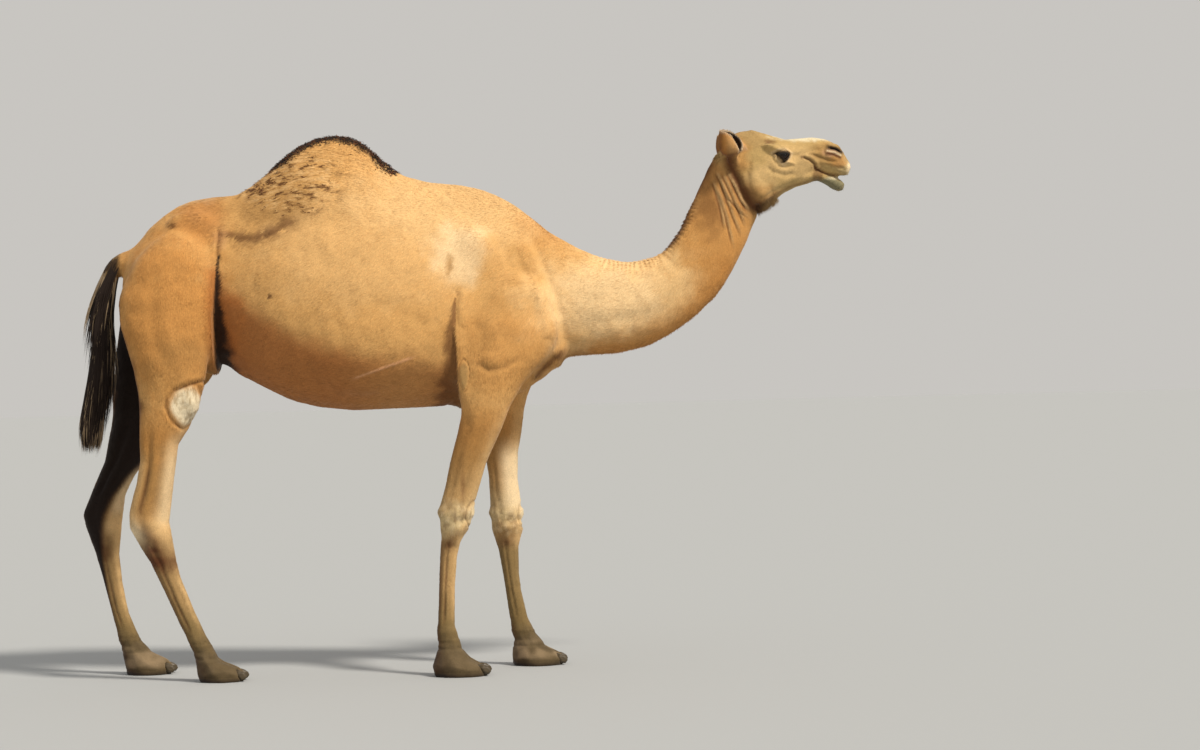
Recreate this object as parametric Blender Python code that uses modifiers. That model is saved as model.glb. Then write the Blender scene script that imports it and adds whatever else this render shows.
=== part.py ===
"""A one-humped camel standing still, life size, parted into the pieces a person would name.

Metres, +Z up. The camel faces +X and its left side is +Y. The origin is on the ground under the middle
of its overall length. The body is lofted from named sections, blended into one skin, thinned to flat
facets and then parted by thin cuts.
"""

import math

import bmesh
import bpy
import numpy as np
from mathutils import Matrix, Vector

# Driving sizes.
VOXEL = 0.0055  # grid of the blended skin
GAP = 0.0003  # width of every parting cut
BODY_TRIANGLES = 3460  # of the whole skin, before it is parted
FLAT_ANGLE = 2.0  # facets closer than this in tilt are merged after cutting
RING_POINTS = 40
SPAN_STEPS = 6  # rings lofted between two named sections

EYE_RADIUS = 0.0205
EYE_CENTRE = Vector((1.219, 0.0660, 1.906))
EAR_LENGTH = 0.115
EAR_RADIUS = 0.049  # of the cup's round, at its widest
EAR_THICKNESS = 0.010
EAR_ROOT = Vector((1.033, 0.080, 1.900))
EAR_UP = Vector((-0.16, 0.28, 0.95))  # root to tip, for the left ear
EAR_FACING = Vector((0.91, 0.40, 0.25))  # the way its hollow looks
NAIL_LENGTH = 0.030
NAIL_HALF_WIDTH = 0.015
NAIL_HEIGHT = 0.018

# Colours: base colour, roughness.
FINISHES = {
    "coat_sand": ((0.56, 0.34, 0.15), 0.85),
    "coat_face": ((0.58, 0.41, 0.22), 0.85),
    "coat_shank": ((0.36, 0.26, 0.15), 0.88),
    "tail_hair": ((0.06, 0.045, 0.03), 0.80),
    "eye_wet": ((0.02, 0.012, 0.008), 0.08),
    "nail_horn": ((0.10, 0.075, 0.05), 0.45),
}

# The trunk without its hump, by upright sections:
# x, top z, bottom z, half width, how much the top narrows.
TRUNK = [
    (-1.284, 1.500, 1.370, 0.050, 0.00),
    (-1.268, 1.580, 1.270, 0.100, 0.05),
    (-1.222, 1.655, 1.205, 0.140, 0.10),
    (-1.140, 1.738, 1.160, 0.172, 0.15),
    (-1.040, 1.798, 1.135, 0.186, 0.20),
    (-0.930, 1.817, 1.140, 0.186, 0.23),
    (-0.850, 1.819, 1.126, 0.200, 0.22),
    (-0.780, 1.822, 1.094, 0.232, 0.18),
    (-0.700, 1.828, 1.052, 0.266, 0.14),
    (-0.600, 1.838, 1.012, 0.290, 0.12),
    (-0.440, 1.848, 0.989, 0.304, 0.12),
    (-0.280, 1.855, 0.988, 0.298, 0.15),
    (-0.130, 1.851, 0.992, 0.268, 0.22),
    (0.000, 1.842, 0.996, 0.226, 0.30),
    (0.110, 1.814, 1.000, 0.198, 0.34),
    (0.210, 1.757, 1.035, 0.178, 0.34),
    (0.300, 1.684, 1.092, 0.158, 0.25),
    (0.372, 1.628, 1.160, 0.132, 0.10),
]

# The hump, by upright sections like the trunk's.
HUMP = [
    (-0.920, 1.795, 1.640, 0.050, 0.20),
    (-0.810, 1.838, 1.580, 0.130, 0.30),
    (-0.700, 1.922, 1.520, 0.175, 0.38),
    (-0.610, 1.994, 1.500, 0.194, 0.43),
    (-0.520, 2.031, 1.500, 0.202, 0.45),
    (-0.430, 2.035, 1.500, 0.202, 0.45),
    (-0.365, 2.008, 1.500, 0.196, 0.44),
    (-0.300, 1.947, 1.520, 0.184, 0.40),
    (-0.215, 1.881, 1.580, 0.150, 0.30),
    (-0.110, 1.850, 1.640, 0.090, 0.20),
]

# The neck, by sections across it: x and z of the nape, x and z of the throat, half width, narrowing.
NECK = [
    (0.240, 1.700, 0.300, 1.170, 0.160, 0.15),
    (0.345, 1.643, 0.385, 1.168, 0.140, 0.10),
    (0.452, 1.586, 0.480, 1.172, 0.122, 0.05),
    (0.567, 1.541, 0.605, 1.180, 0.110, 0.05),
    (0.662, 1.536, 0.722, 1.213, 0.101, 0.05),
    (0.750, 1.564, 0.838, 1.280, 0.094, 0.05),
    (0.812, 1.637, 0.940, 1.364, 0.087, 0.05),
    (0.856, 1.722, 1.014, 1.462, 0.080, 0.05),
    (0.894, 1.802, 1.068, 1.562, 0.074, 0.00),
    (0.928, 1.876, 1.108, 1.650, 0.070, 0.00),
    (0.972, 1.936, 1.128, 1.716, 0.070, 0.00),
]

# The skull with cheeks and upper lip, by upright sections like the trunk's.
HEAD = [
    (0.985, 1.960, 1.840, 0.050, 0.00),
    (1.020, 1.995, 1.760, 0.068, 0.05),
    (1.062, 2.012, 1.706, 0.077, 0.08),
    (1.105, 2.015, 1.696, 0.080, 0.08),
    (1.146, 2.003, 1.714, 0.080, 0.05),
    (1.186, 1.988, 1.742, 0.077, 0.02),
    (1.226, 1.978, 1.772, 0.066, 0.00),
    (1.266, 1.979, 1.790, 0.054, 0.00),
    (1.310, 1.983, 1.812, 0.047, 0.00),
    (1.345, 1.981, 1.842, 0.044, 0.00),
    (1.378, 1.976, 1.842, 0.044, 0.02),
    (1.412, 1.960, 1.832, 0.046, 0.05),
    (1.440, 1.934, 1.829, 0.046, 0.08),
    (1.462, 1.903, 1.832, 0.039, 0.05),
    (1.478, 1.876, 1.845, 0.020, 0.00),
]

# The lower jaw and its drooping lip, by sections across it, as the neck's.
JAW = [
    (1.262, 1.850, 1.262, 1.790, 0.036, 0.00),
    (1.310, 1.856, 1.308, 1.802, 0.036, 0.00),
    (1.348, 1.857, 1.344, 1.813, 0.035, 0.00),
    (1.386, 1.844, 1.376, 1.800, 0.033, 0.00),
    (1.418, 1.831, 1.402, 1.782, 0.032, 0.00),
    (1.440, 1.816, 1.427, 1.772, 0.028, 0.00),
    (1.453, 1.802, 1.445, 1.776, 0.016, 0.00),
]

# The tail with its hair, by sections across it, as the neck's.
TAIL = [
    (-1.225, 1.640, -1.205, 1.585, 0.036, 0.00),
    (-1.292, 1.612, -1.250, 1.552, 0.040, 0.00),
    (-1.346, 1.566, -1.284, 1.520, 0.038, 0.00),
    (-1.380, 1.480, -1.312, 1.460, 0.034, 0.00),
    (-1.394, 1.360, -1.328, 1.352, 0.033, 0.00),
    (-1.405, 1.243, -1.336, 1.240, 0.037, 0.00),
    (-1.430, 1.100, -1.354, 1.096, 0.040, 0.00),
    (-1.441, 0.985, -1.368, 0.982, 0.034, 0.00),
    (-1.436, 0.920, -1.392, 0.916, 0.020, 0.00),
    (-1.430, 0.880, -1.414, 0.879, 0.008, 0.00),
]

# Each leg, by level sections: z, x behind, x in front, distance out from the midline, half width.
FORELEG_RIGHT = [
    (1.420, 0.080, 0.240, 0.125, 0.040),
    (1.370, 0.020, 0.325, 0.142, 0.072),
    (1.290, -0.020, 0.372, 0.158, 0.084),
    (1.180, -0.030, 0.330, 0.168, 0.088),
    (1.080, -0.024, 0.240, 0.172, 0.084),
    (0.990, -0.012, 0.180, 0.174, 0.076),
    (0.910, -0.024, 0.146, 0.174, 0.067),
    (0.800, -0.056, 0.092, 0.173, 0.057),
    (0.700, -0.078, 0.057, 0.172, 0.052),
    (0.630, -0.098, 0.036, 0.174, 0.056),
    (0.575, -0.101, 0.020, 0.172, 0.060),
    (0.520, -0.095, -0.002, 0.171, 0.052),
    (0.465, -0.099, -0.027, 0.170, 0.038),
    (0.350, -0.107, -0.041, 0.170, 0.032),
    (0.240, -0.113, -0.045, 0.170, 0.033),
    (0.180, -0.119, -0.045, 0.170, 0.037),
    (0.143, -0.118, -0.034, 0.171, 0.042),
    (0.105, -0.118, -0.022, 0.172, 0.050),
    (0.070, -0.128, 0.004, 0.173, 0.067),
    (0.047, -0.136, 0.045, 0.174, 0.083),
    (0.026, -0.138, 0.074, 0.174, 0.090),
    (0.006, -0.134, 0.076, 0.174, 0.088),
    (-0.010, -0.124, 0.066, 0.174, 0.082),
]
FORELEG_LEFT = [
    (1.420, 0.080, 0.240, 0.125, 0.040),
    (1.370, 0.020, 0.325, 0.142, 0.072),
    (1.290, 0.000, 0.376, 0.158, 0.084),
    (1.180, 0.008, 0.335, 0.168, 0.088),
    (1.080, 0.014, 0.258, 0.172, 0.084),
    (0.990, 0.030, 0.224, 0.174, 0.076),
    (0.900, 0.045, 0.210, 0.174, 0.067),
    (0.816, 0.058, 0.194, 0.173, 0.057),
    (0.720, 0.070, 0.189, 0.172, 0.052),
    (0.620, 0.074, 0.200, 0.174, 0.057),
    (0.550, 0.076, 0.203, 0.172, 0.060),
    (0.496, 0.086, 0.196, 0.171, 0.052),
    (0.441, 0.103, 0.186, 0.170, 0.038),
    (0.322, 0.122, 0.188, 0.170, 0.032),
    (0.206, 0.137, 0.209, 0.170, 0.033),
    (0.145, 0.144, 0.230, 0.171, 0.037),
    (0.106, 0.152, 0.253, 0.172, 0.044),
    (0.070, 0.150, 0.288, 0.173, 0.060),
    (0.046, 0.146, 0.334, 0.174, 0.081),
    (0.026, 0.146, 0.356, 0.174, 0.090),
    (0.006, 0.150, 0.350, 0.174, 0.088),
    (-0.010, 0.160, 0.340, 0.174, 0.082),
]
HINDLEG_RIGHT = [
    (1.680, -1.100, -1.000, 0.080, 0.030),
    (1.620, -1.170, -0.950, 0.100, 0.060),
    (1.540, -1.225, -0.905, 0.120, 0.092),
    (1.450, -1.272, -0.908, 0.144, 0.114),
    (1.350, -1.278, -0.924, 0.154, 0.114),
    (1.240, -1.250, -0.942, 0.162, 0.108),
    (1.140, -1.222, -0.946, 0.168, 0.099),
    (1.080, -1.211, -0.955, 0.171, 0.093),
    (1.020, -1.206, -0.977, 0.173, 0.086),
    (0.950, -1.205, -1.008, 0.173, 0.077),
    (0.887, -1.204, -1.050, 0.173, 0.067),
    (0.826, -1.203, -1.063, 0.172, 0.059),
    (0.745, -1.217, -1.074, 0.176, 0.052),
    (0.670, -1.241, -1.085, 0.173, 0.049),
    (0.596, -1.254, -1.094, 0.171, 0.052),
    (0.540, -1.232, -1.088, 0.170, 0.052),
    (0.500, -1.209, -1.082, 0.169, 0.047),
    (0.445, -1.175, -1.072, 0.168, 0.040),
    (0.375, -1.142, -1.054, 0.167, 0.035),
    (0.280, -1.100, -1.017, 0.166, 0.032),
    (0.190, -1.062, -0.979, 0.166, 0.035),
    (0.119, -1.030, -0.944, 0.167, 0.043),
    (0.078, -1.016, -0.914, 0.168, 0.056),
    (0.056, -1.013, -0.862, 0.168, 0.069),
    (0.034, -1.012, -0.830, 0.168, 0.077),
    (0.010, -1.006, -0.826, 0.168, 0.076),
    (-0.010, -0.994, -0.838, 0.168, 0.070),
]
HINDLEG_LEFT = [
    (1.680, -1.100, -1.000, 0.080, 0.030),
    (1.620, -1.170, -0.950, 0.100, 0.060),
    (1.540, -1.225, -0.905, 0.120, 0.092),
    (1.450, -1.302, -0.908, 0.146, 0.114),
    (1.350, -1.330, -0.918, 0.156, 0.114),
    (1.240, -1.350, -0.930, 0.163, 0.108),
    (1.150, -1.362, -0.960, 0.168, 0.099),
    (1.080, -1.366, -1.015, 0.171, 0.093),
    (1.010, -1.368, -1.056, 0.173, 0.086),
    (0.940, -1.374, -1.112, 0.173, 0.077),
    (0.880, -1.385, -1.172, 0.173, 0.067),
    (0.818, -1.399, -1.232, 0.172, 0.058),
    (0.758, -1.424, -1.282, 0.175, 0.053),
    (0.694, -1.456, -1.314, 0.172, 0.049),
    (0.624, -1.486, -1.326, 0.170, 0.053),
    (0.575, -1.480, -1.333, 0.169, 0.051),
    (0.522, -1.460, -1.338, 0.168, 0.046),
    (0.463, -1.440, -1.343, 0.167, 0.040),
    (0.384, -1.418, -1.337, 0.166, 0.035),
    (0.267, -1.390, -1.320, 0.166, 0.032),
    (0.188, -1.373, -1.295, 0.166, 0.035),
    (0.120, -1.356, -1.264, 0.167, 0.043),
    (0.078, -1.346, -1.214, 0.168, 0.058),
    (0.054, -1.341, -1.170, 0.168, 0.071),
    (0.030, -1.338, -1.148, 0.168, 0.077),
    (0.008, -1.332, -1.150, 0.168, 0.076),
    (-0.010, -1.320, -1.162, 0.168, 0.070),
]
LEGS = {
    "foreleg_right": (FORELEG_RIGHT, -1),
    "foreleg_left": (FORELEG_LEFT, 1),
    "hindleg_right": (HINDLEG_RIGHT, -1),
    "hindleg_left": (HINDLEG_LEFT, 1),
}

# Muscle and bone that stand out on both sides: centre, radii, pitch in degrees (nose-down positive).
SWELLINGS = {
    "shoulder_blade": ((0.075, 0.132, 1.480), (0.120, 0.062, 0.210), -24),
    "shoulder_muscle": ((0.190, 0.156, 1.310), (0.165, 0.074, 0.180), 20),
    "elbow": ((0.012, 0.200, 1.100), (0.055, 0.040, 0.070), 0),
    "hip_bone": ((-0.985, 0.104, 1.668), (0.125, 0.040, 0.085), 20),
    "haunch": ((-1.085, 0.146, 1.440), (0.172, 0.106, 0.240), 15),
    "belly_side": ((-0.360, 0.150, 1.280), (0.340, 0.158, 0.240), 0),
    "brisket": ((0.270, 0.060, 1.230), (0.135, 0.100, 0.110), 25),
    "chest_pad": ((0.055, 0.030, 1.030), (0.110, 0.070, 0.060), 0),
    "cheek": ((1.112, 0.052, 1.800), (0.058, 0.034, 0.082), -18),
    "brow": ((1.190, 0.066, 1.937), (0.056, 0.024, 0.018), 12),
    "under_eye": ((1.206, 0.060, 1.884), (0.052, 0.021, 0.018), 8),
    "nostril_ridge": ((1.416, 0.027, 1.926), (0.036, 0.021, 0.024), 30),
    "lip_lobe": ((1.444, 0.024, 1.860), (0.034, 0.024, 0.030), 10),
}
# Callus pads on the legs: leg, centre, radii.
CALLUSES = {
    "stifle_right": ((-1.004, -0.202, 1.050), (0.040, 0.052, 0.074)),
    "stifle_left": ((-1.078, 0.202, 1.068), (0.040, 0.052, 0.074)),
    "knee_right": ((-0.004, -0.176, 0.590), (0.034, 0.040, 0.050)),
    "knee_left": ((0.170, 0.176, 0.575), (0.034, 0.040, 0.050)),
}


def smooth_rows(rows):
    """Rows that pass through each named row, with SPAN_STEPS in each span (a Catmull-Rom curve)."""
    rows = np.array(rows, float)
    ends = np.vstack([2 * rows[0] - rows[1], rows, 2 * rows[-1] - rows[-2]])
    made = []
    for i in range(1, len(ends) - 2):
        p0, p1, p2, p3 = ends[i - 1 : i + 3]
        for t in np.arange(SPAN_STEPS) / SPAN_STEPS:
            made.append(
                0.5 * (2 * p1 + (p2 - p0) * t + (2 * p0 - 5 * p1 + 4 * p2 - p3) * t**2
                       + (3 * p1 - p0 - 3 * p2 + p3) * t**3)
            )
    made.append(rows[-1])
    return made


def section(high, low, out, half_width, narrowing):
    """A closed ring from its high and low ends (x, z). Narrowing draws in the high side."""
    turn = np.linspace(0, 2 * math.pi, RING_POINTS, endpoint=False)
    along, across = np.cos(turn), np.sin(turn)
    middle = (np.array(high) + np.array(low)) / 2
    reach = (np.array(high) - np.array(low)) / 2
    flat = middle + np.outer(along, reach)
    side = out + half_width * across * (1 - narrowing * along)
    return np.column_stack([flat[:, 0], side, flat[:, 1]])


def object_from(name, points, faces):
    mesh = bpy.data.meshes.new(name)
    mesh.from_pydata([tuple(map(float, p)) for p in points], [], faces)
    made = bpy.data.objects.new(name, mesh)
    bpy.context.scene.collection.objects.link(made)
    return made


def outwards(made):
    shaped = bmesh.new()
    shaped.from_mesh(made.data)
    bmesh.ops.recalc_face_normals(shaped, faces=shaped.faces[:])
    shaped.to_mesh(made.data)
    shaped.free()
    return made


def loft(name, rings):
    """A closed skin through the rings, with a flat cap at each end."""
    count = len(rings[0])
    faces = [
        (i * count + j, i * count + (j + 1) % count, (i + 1) * count + (j + 1) % count, (i + 1) * count + j)
        for i in range(len(rings) - 1)
        for j in range(count)
    ]
    faces.append(tuple(range(count - 1, -1, -1)))
    faces.append(tuple(range((len(rings) - 1) * count, len(rings) * count)))
    return outwards(object_from(name, np.vstack(rings), faces))


def upright_loft(name, rows):
    return loft(
        name,
        [section((x, top), (x, bottom), 0, width, narrow) for x, top, bottom, width, narrow in smooth_rows(rows)],
    )


def slanted_loft(name, rows):
    return loft(
        name,
        [section((xh, zh), (xl, zl), 0, width, narrow) for xh, zh, xl, zl, width, narrow in smooth_rows(rows)],
    )


def leg_loft(name, rows, side):
    return loft(
        name,
        [section((front, z), (back, z), side * out, width, 0) for z, back, front, out, width in smooth_rows(rows)],
    )


def ball(name, centre, radii, pitch=0):
    bpy.ops.mesh.primitive_uv_sphere_add(segments=32, ring_count=20, radius=1, location=centre)
    made = bpy.context.object
    made.name = name
    made.scale = radii
    made.rotation_euler = (0, math.radians(pitch), 0)
    bpy.ops.object.transform_apply(location=True, rotation=True, scale=True)
    return made


def apply_modifiers(made):
    bpy.context.view_layer.update()
    graph = bpy.context.evaluated_depsgraph_get()
    shaped = bpy.data.meshes.new_from_object(made.evaluated_get(graph))
    made.modifiers.clear()
    made.data = shaped
    return made


def joined(name, pieces):
    whole = bmesh.new()
    for piece in pieces:
        whole.from_mesh(piece.data)
        bpy.data.objects.remove(piece)
    mesh = bpy.data.meshes.new(name)
    whole.to_mesh(mesh)
    whole.free()
    made = bpy.data.objects.new(name, mesh)
    bpy.context.scene.collection.objects.link(made)
    return made


def blended(name, pieces, voxel, rounds):
    """One closed skin round all the pieces. Rounds lists (smoothing steps, weight at a point)."""
    made = joined(name, pieces)
    remesh = made.modifiers.new("Skin", "REMESH")
    remesh.mode = "VOXEL"
    remesh.voxel_size = voxel
    apply_modifiers(made)
    places = np.empty(len(made.data.vertices) * 3)
    made.data.vertices.foreach_get("co", places)
    places = places.reshape(-1, 3)
    for steps, weight in rounds:
        group = made.vertex_groups.new(name="soften")
        levels = np.round(weight(places) * 10) / 10
        for level in np.unique(levels):
            group.add(np.flatnonzero(levels == level).tolist(), float(level), "REPLACE")
        smooth = made.modifiers.new("Soften", "SMOOTH")
        smooth.factor = 0.5
        smooth.iterations = steps
        smooth.vertex_group = group.name
        apply_modifiers(made)
        made.vertex_groups.clear()
    return made


def ramp(values, start, end):
    """0 at start, 1 at end, eased between."""
    share = np.clip((values - start) / (end - start), 0, 1)
    return share * share * (3 - 2 * share)


def body_softness(places):
    """Broad forms blend more than the head and the feet."""
    x, z = places[:, 0], places[:, 2]
    legs = ramp(z, 0.75, 1.15)
    head = ramp(x, 1.08, 0.90)
    return np.minimum(0.12 + 0.88 * legs, 0.16 + 0.84 * head)


def thinned(made, triangles):
    """Flat facets, fewer where the form is broad."""
    made.data.calc_loop_triangles()
    thin = made.modifiers.new("Facets", "DECIMATE")
    thin.ratio = triangles / len(made.data.loop_triangles)
    thin.use_collapse_triangulate = True
    return apply_modifiers(made)


def copy_of(made, name):
    twin = made.copy()
    twin.data = made.data.copy()
    twin.name = name
    bpy.context.scene.collection.objects.link(twin)
    return twin


def swollen(made, distance):
    """A copy that stands this far outside the original."""
    twin = copy_of(made, made.name + "_swollen")
    bpy.context.view_layer.update()
    normals = np.empty(len(twin.data.vertices) * 3)
    places = np.empty(len(twin.data.vertices) * 3)
    twin.data.vertices.foreach_get("normal", normals)
    twin.data.vertices.foreach_get("co", places)
    twin.data.vertices.foreach_set("co", places + normals * distance)
    twin.data.update()
    return twin


def boolean(made, cutter, operation):
    """Cuts or keeps by the cutter, which stays."""
    cut = made.modifiers.new("Part", "BOOLEAN")
    cut.operation = operation
    cut.object = cutter
    return apply_modifiers(made)


def discard(*helpers):
    for helper in helpers:
        bpy.data.objects.remove(helper)


def merged_flats(made):
    """Clears the needless edges that cuts leave in flat places."""
    shaped = bmesh.new()
    shaped.from_mesh(made.data)
    bmesh.ops.dissolve_limit(
        shaped, angle_limit=math.radians(FLAT_ANGLE), verts=shaped.verts[:], edges=shaped.edges[:]
    )
    bmesh.ops.triangulate(shaped, faces=shaped.faces[:])
    shaped.to_mesh(made.data)
    shaped.free()
    return made


def halved(made, point, normal, keep_ahead):
    """Keeps one side of a plane and caps it, half a gap back from the plane."""
    normal = Vector(normal).normalized()
    shift = GAP / 2 if keep_ahead else -GAP / 2
    shaped = bmesh.new()
    shaped.from_mesh(made.data)
    cut = bmesh.ops.bisect_plane(
        shaped,
        geom=shaped.verts[:] + shaped.edges[:] + shaped.faces[:],
        plane_co=Vector(point) + normal * shift,
        plane_no=normal,
        clear_inner=keep_ahead,
        clear_outer=not keep_ahead,
    )
    rim = [item for item in cut["geom_cut"] if isinstance(item, bmesh.types.BMEdge)]
    bmesh.ops.holes_fill(shaped, edges=rim, sides=0)
    bmesh.ops.triangulate(shaped, faces=[face for face in shaped.faces if len(face.verts) > 3])
    shaped.to_mesh(made.data)
    shaped.free()
    return made


def split(made, point, normal, ahead_name):
    """Parts a piece at a plane. The side ahead of it becomes a new piece; the original keeps the rest."""
    ahead = halved(copy_of(made, ahead_name), point, normal, True)
    halved(made, point, normal, False)
    return ahead


def prism(name, outline, low, high):
    """A block with this outline in x and z, from y = low to y = high."""
    count = len(outline)
    points = [(x, low, z) for x, z in outline] + [(x, high, z) for x, z in outline]
    faces = [tuple(range(count)), tuple(range(2 * count - 1, count - 1, -1))]
    faces += [(i, count + i, count + (i + 1) % count, (i + 1) % count) for i in range(count)]
    return outwards(object_from(name, points, faces))


def finish(made, name, finish_name):
    merged_flats(made)
    made.name = name
    made.data.name = name
    made.data.materials.clear()
    made.data.materials.append(bpy.data.materials[finish_name])
    made.data.shade_smooth()
    made.data.set_sharp_from_angle(angle=math.radians(50))
    return made


def make_finishes():
    for name, (colour, roughness) in FINISHES.items():
        material = bpy.data.materials.new(name)
        material.use_nodes = True
        shader = material.node_tree.nodes["Principled BSDF"]
        shader.inputs["Base Color"].default_value = (*colour, 1)
        shader.inputs["Roughness"].default_value = roughness
        shader.inputs["Metallic"].default_value = 0


def whole_body():
    """Trunk, hump, neck, skull and legs in one skin, cut level at the ground."""
    pieces = [
        upright_loft("trunk", TRUNK),
        upright_loft("hump", HUMP),
        slanted_loft("neck", NECK),
        upright_loft("head", HEAD),
    ]
    pieces += [leg_loft(name, rows, side) for name, (rows, side) in LEGS.items()]
    for name, (centre, radii, pitch) in SWELLINGS.items():
        for side in (-1, 1):
            pieces.append(ball(name, (centre[0], side * centre[1], centre[2]), radii, pitch))
    pieces += [ball(name, centre, radii) for name, (centre, radii) in CALLUSES.items()]
    body = blended("body", pieces, VOXEL, [(70, body_softness), (4, lambda places: np.ones(len(places)))])
    thinned(body, BODY_TRIANGLES)
    return halved(body, (0, 0, -GAP / 2), (0, 0, 1), True)


def part_legs(body):
    """Cuts the legs off the body, then each leg at its joints. Returns the leg pieces."""
    shapes = {
        "foreleg": [(-0.30, -0.05), (0.50, -0.05), (0.42, 0.95), (0.345, 1.17), (0.24, 1.26), (-0.045, 1.19), (-0.10, 0.90)],
        "hindleg": [(-1.60, -0.05), (-0.70, -0.05), (-0.90, 1.00), (-0.905, 1.46), (-1.08, 1.56), (-1.36, 1.42), (-1.60, 0.60)],
    }
    reach = {"foreleg": (0.055, 0.45), "hindleg": (0.055, 0.45)}
    joints = {
        "foreleg_right": [("forearm", (0.06, 0.92), 8), ("cannon", (-0.05, 0.545), 4), ("foot", (-0.08, 0.155), 0)],
        "foreleg_left": [("forearm", (0.12, 0.92), 4), ("cannon", (0.13, 0.520), -10), ("foot", (0.18, 0.140), -14)],
        "hindleg_right": [("gaskin", (-1.10, 0.960), 10), ("cannon", (-1.17, 0.575), -20), ("foot", (-1.01, 0.150), -22)],
        "hindleg_left": [("gaskin", (-1.20, 0.985), 26), ("cannon", (-1.40, 0.590), -10), ("foot", (-1.32, 0.150), -14)],
    }
    pieces = []
    for leg, (_, side) in LEGS.items():
        kind = leg.split("_")[0]
        low, high = sorted(side * y for y in reach[kind])
        block = prism("block", shapes[kind], low, high)
        whole = boolean(copy_of(body, leg), block, "INTERSECT")
        wider = swollen(block, GAP)
        boolean(body, wider, "DIFFERENCE")
        discard(block, wider)
        upper = {"foreleg": "arm", "hindleg": "thigh"}[kind]
        names = [upper] + [joint[0] for joint in joints[leg]]
        rest = whole
        for above, (_, (x, z), tilt) in zip(names, joints[leg]):
            lean = math.radians(tilt)
            normal = (math.sin(lean), 0, math.cos(lean))
            top = split(rest, (x, 0, z), normal, "top")
            finish(top, f"{leg}_{above}", "coat_sand" if above in (upper, "forearm", "gaskin") else "coat_shank")
            pieces.append(top)
        pieces.append(finish(rest, f"{leg}_foot", "coat_shank"))
    return pieces


def make_jaw(body):
    """The lower jaw, let into the head with a thin gap all round."""
    jaw = blended("jaw", [slanted_loft("jaw", JAW)], 0.003, [(3, lambda places: np.ones(len(places)))])
    thinned(jaw, 260)
    wider = swollen(jaw, GAP * 2)
    boolean(body, wider, "DIFFERENCE")
    discard(wider)
    return finish(jaw, "lower_jaw", "coat_face")


def make_eye(side):
    """An eyeball, turned so that its pole looks out of the head."""
    centre = (EYE_CENTRE.x, side * EYE_CENTRE.y, EYE_CENTRE.z)
    bpy.ops.mesh.primitive_uv_sphere_add(segments=12, ring_count=8, radius=EYE_RADIUS, location=centre)
    made = bpy.context.object
    made.rotation_euler = (math.radians(-90 * side), 0, 0)
    bpy.ops.object.transform_apply(location=True, rotation=True, scale=True)
    return made


def make_ear(side):
    """A round cup that stands on the poll, open in front, its outer rim the taller."""
    shaped = bmesh.new()
    bmesh.ops.create_grid(shaped, x_segments=8, y_segments=6, size=1)
    for vert in shaped.verts:
        across, up = vert.co.x, (vert.co.y + 1) / 2
        swell = 0.36 + 0.64 * math.sin(math.pi / 2 * min(up / 0.45, 1))
        taper = 1 - 0.30 * max(2 * up - 1, 0) ** 2
        radius = EAR_RADIUS * swell * taper
        curl = across * math.radians(150 - 34 * up)
        height = EAR_LENGTH * up * (1 - 0.17 * up * abs(across - 0.25 * up) ** 2.2)
        vert.co = Vector((radius * math.sin(curl), 0.004 * up**2 - radius * math.cos(curl), height))
    mesh = bpy.data.meshes.new("ear")
    shaped.to_mesh(mesh)
    shaped.free()
    made = bpy.data.objects.new("ear", mesh)
    bpy.context.scene.collection.objects.link(made)
    shell = made.modifiers.new("Thickness", "SOLIDIFY")
    shell.thickness = EAR_THICKNESS
    shell.offset = 0
    apply_modifiers(made)
    up = EAR_UP.normalized()
    facing = (EAR_FACING - EAR_FACING.dot(up) * up).normalized()
    across = up.cross(facing)
    turn = Matrix((across, facing, up)).transposed().to_4x4()
    mirror = Matrix.Scale(side, 4, (0, 1, 0))
    place = Matrix.Translation((EAR_ROOT.x, side * EAR_ROOT.y, EAR_ROOT.z))
    made.data.transform(place @ mirror @ turn)
    outwards(made)
    return made


def make_nail(toe, heading):
    """A horny nail: half an egg, flat underneath, its point ahead."""
    made = ball("nail", (0, 0, 0), (NAIL_LENGTH, NAIL_HALF_WIDTH, NAIL_HEIGHT))
    thinned(made, 48)
    made.data.transform(Matrix.Translation(toe) @ Matrix.Rotation(heading, 4, "Z") @ Matrix.Rotation(0.35, 4, "Y"))
    return halved(made, (0, 0, 0.004), (0, 0, 1), True)


def make_nails(pieces):
    """Two nails on each foot, at the tips of its toes."""
    made = []
    for piece in [piece for piece in pieces if piece.name.endswith("_foot")]:
        corners = np.array([vert.co for vert in piece.data.vertices])
        low = corners[corners[:, 2] < 0.035]
        front = low[:, 0].max()
        middle = (low[:, 1].min() + low[:, 1].max()) / 2
        half = (low[:, 1].max() - low[:, 1].min()) / 2
        for label, share in (("inner", -1), ("outer", 1)):
            side = math.copysign(1, middle)
            toe = Vector((front - 0.022, middle + side * share * half * 0.40, 0.024))
            nail = make_nail(toe, side * share * 0.22)
            wider = swollen(nail, GAP * 2)
            boolean(piece, wider, "DIFFERENCE")
            discard(wider)
            foot = piece.name.replace("_foot", "")
            made.append(finish(nail, f"{foot}_nail_{label}", "nail_horn"))
    return made


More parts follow.
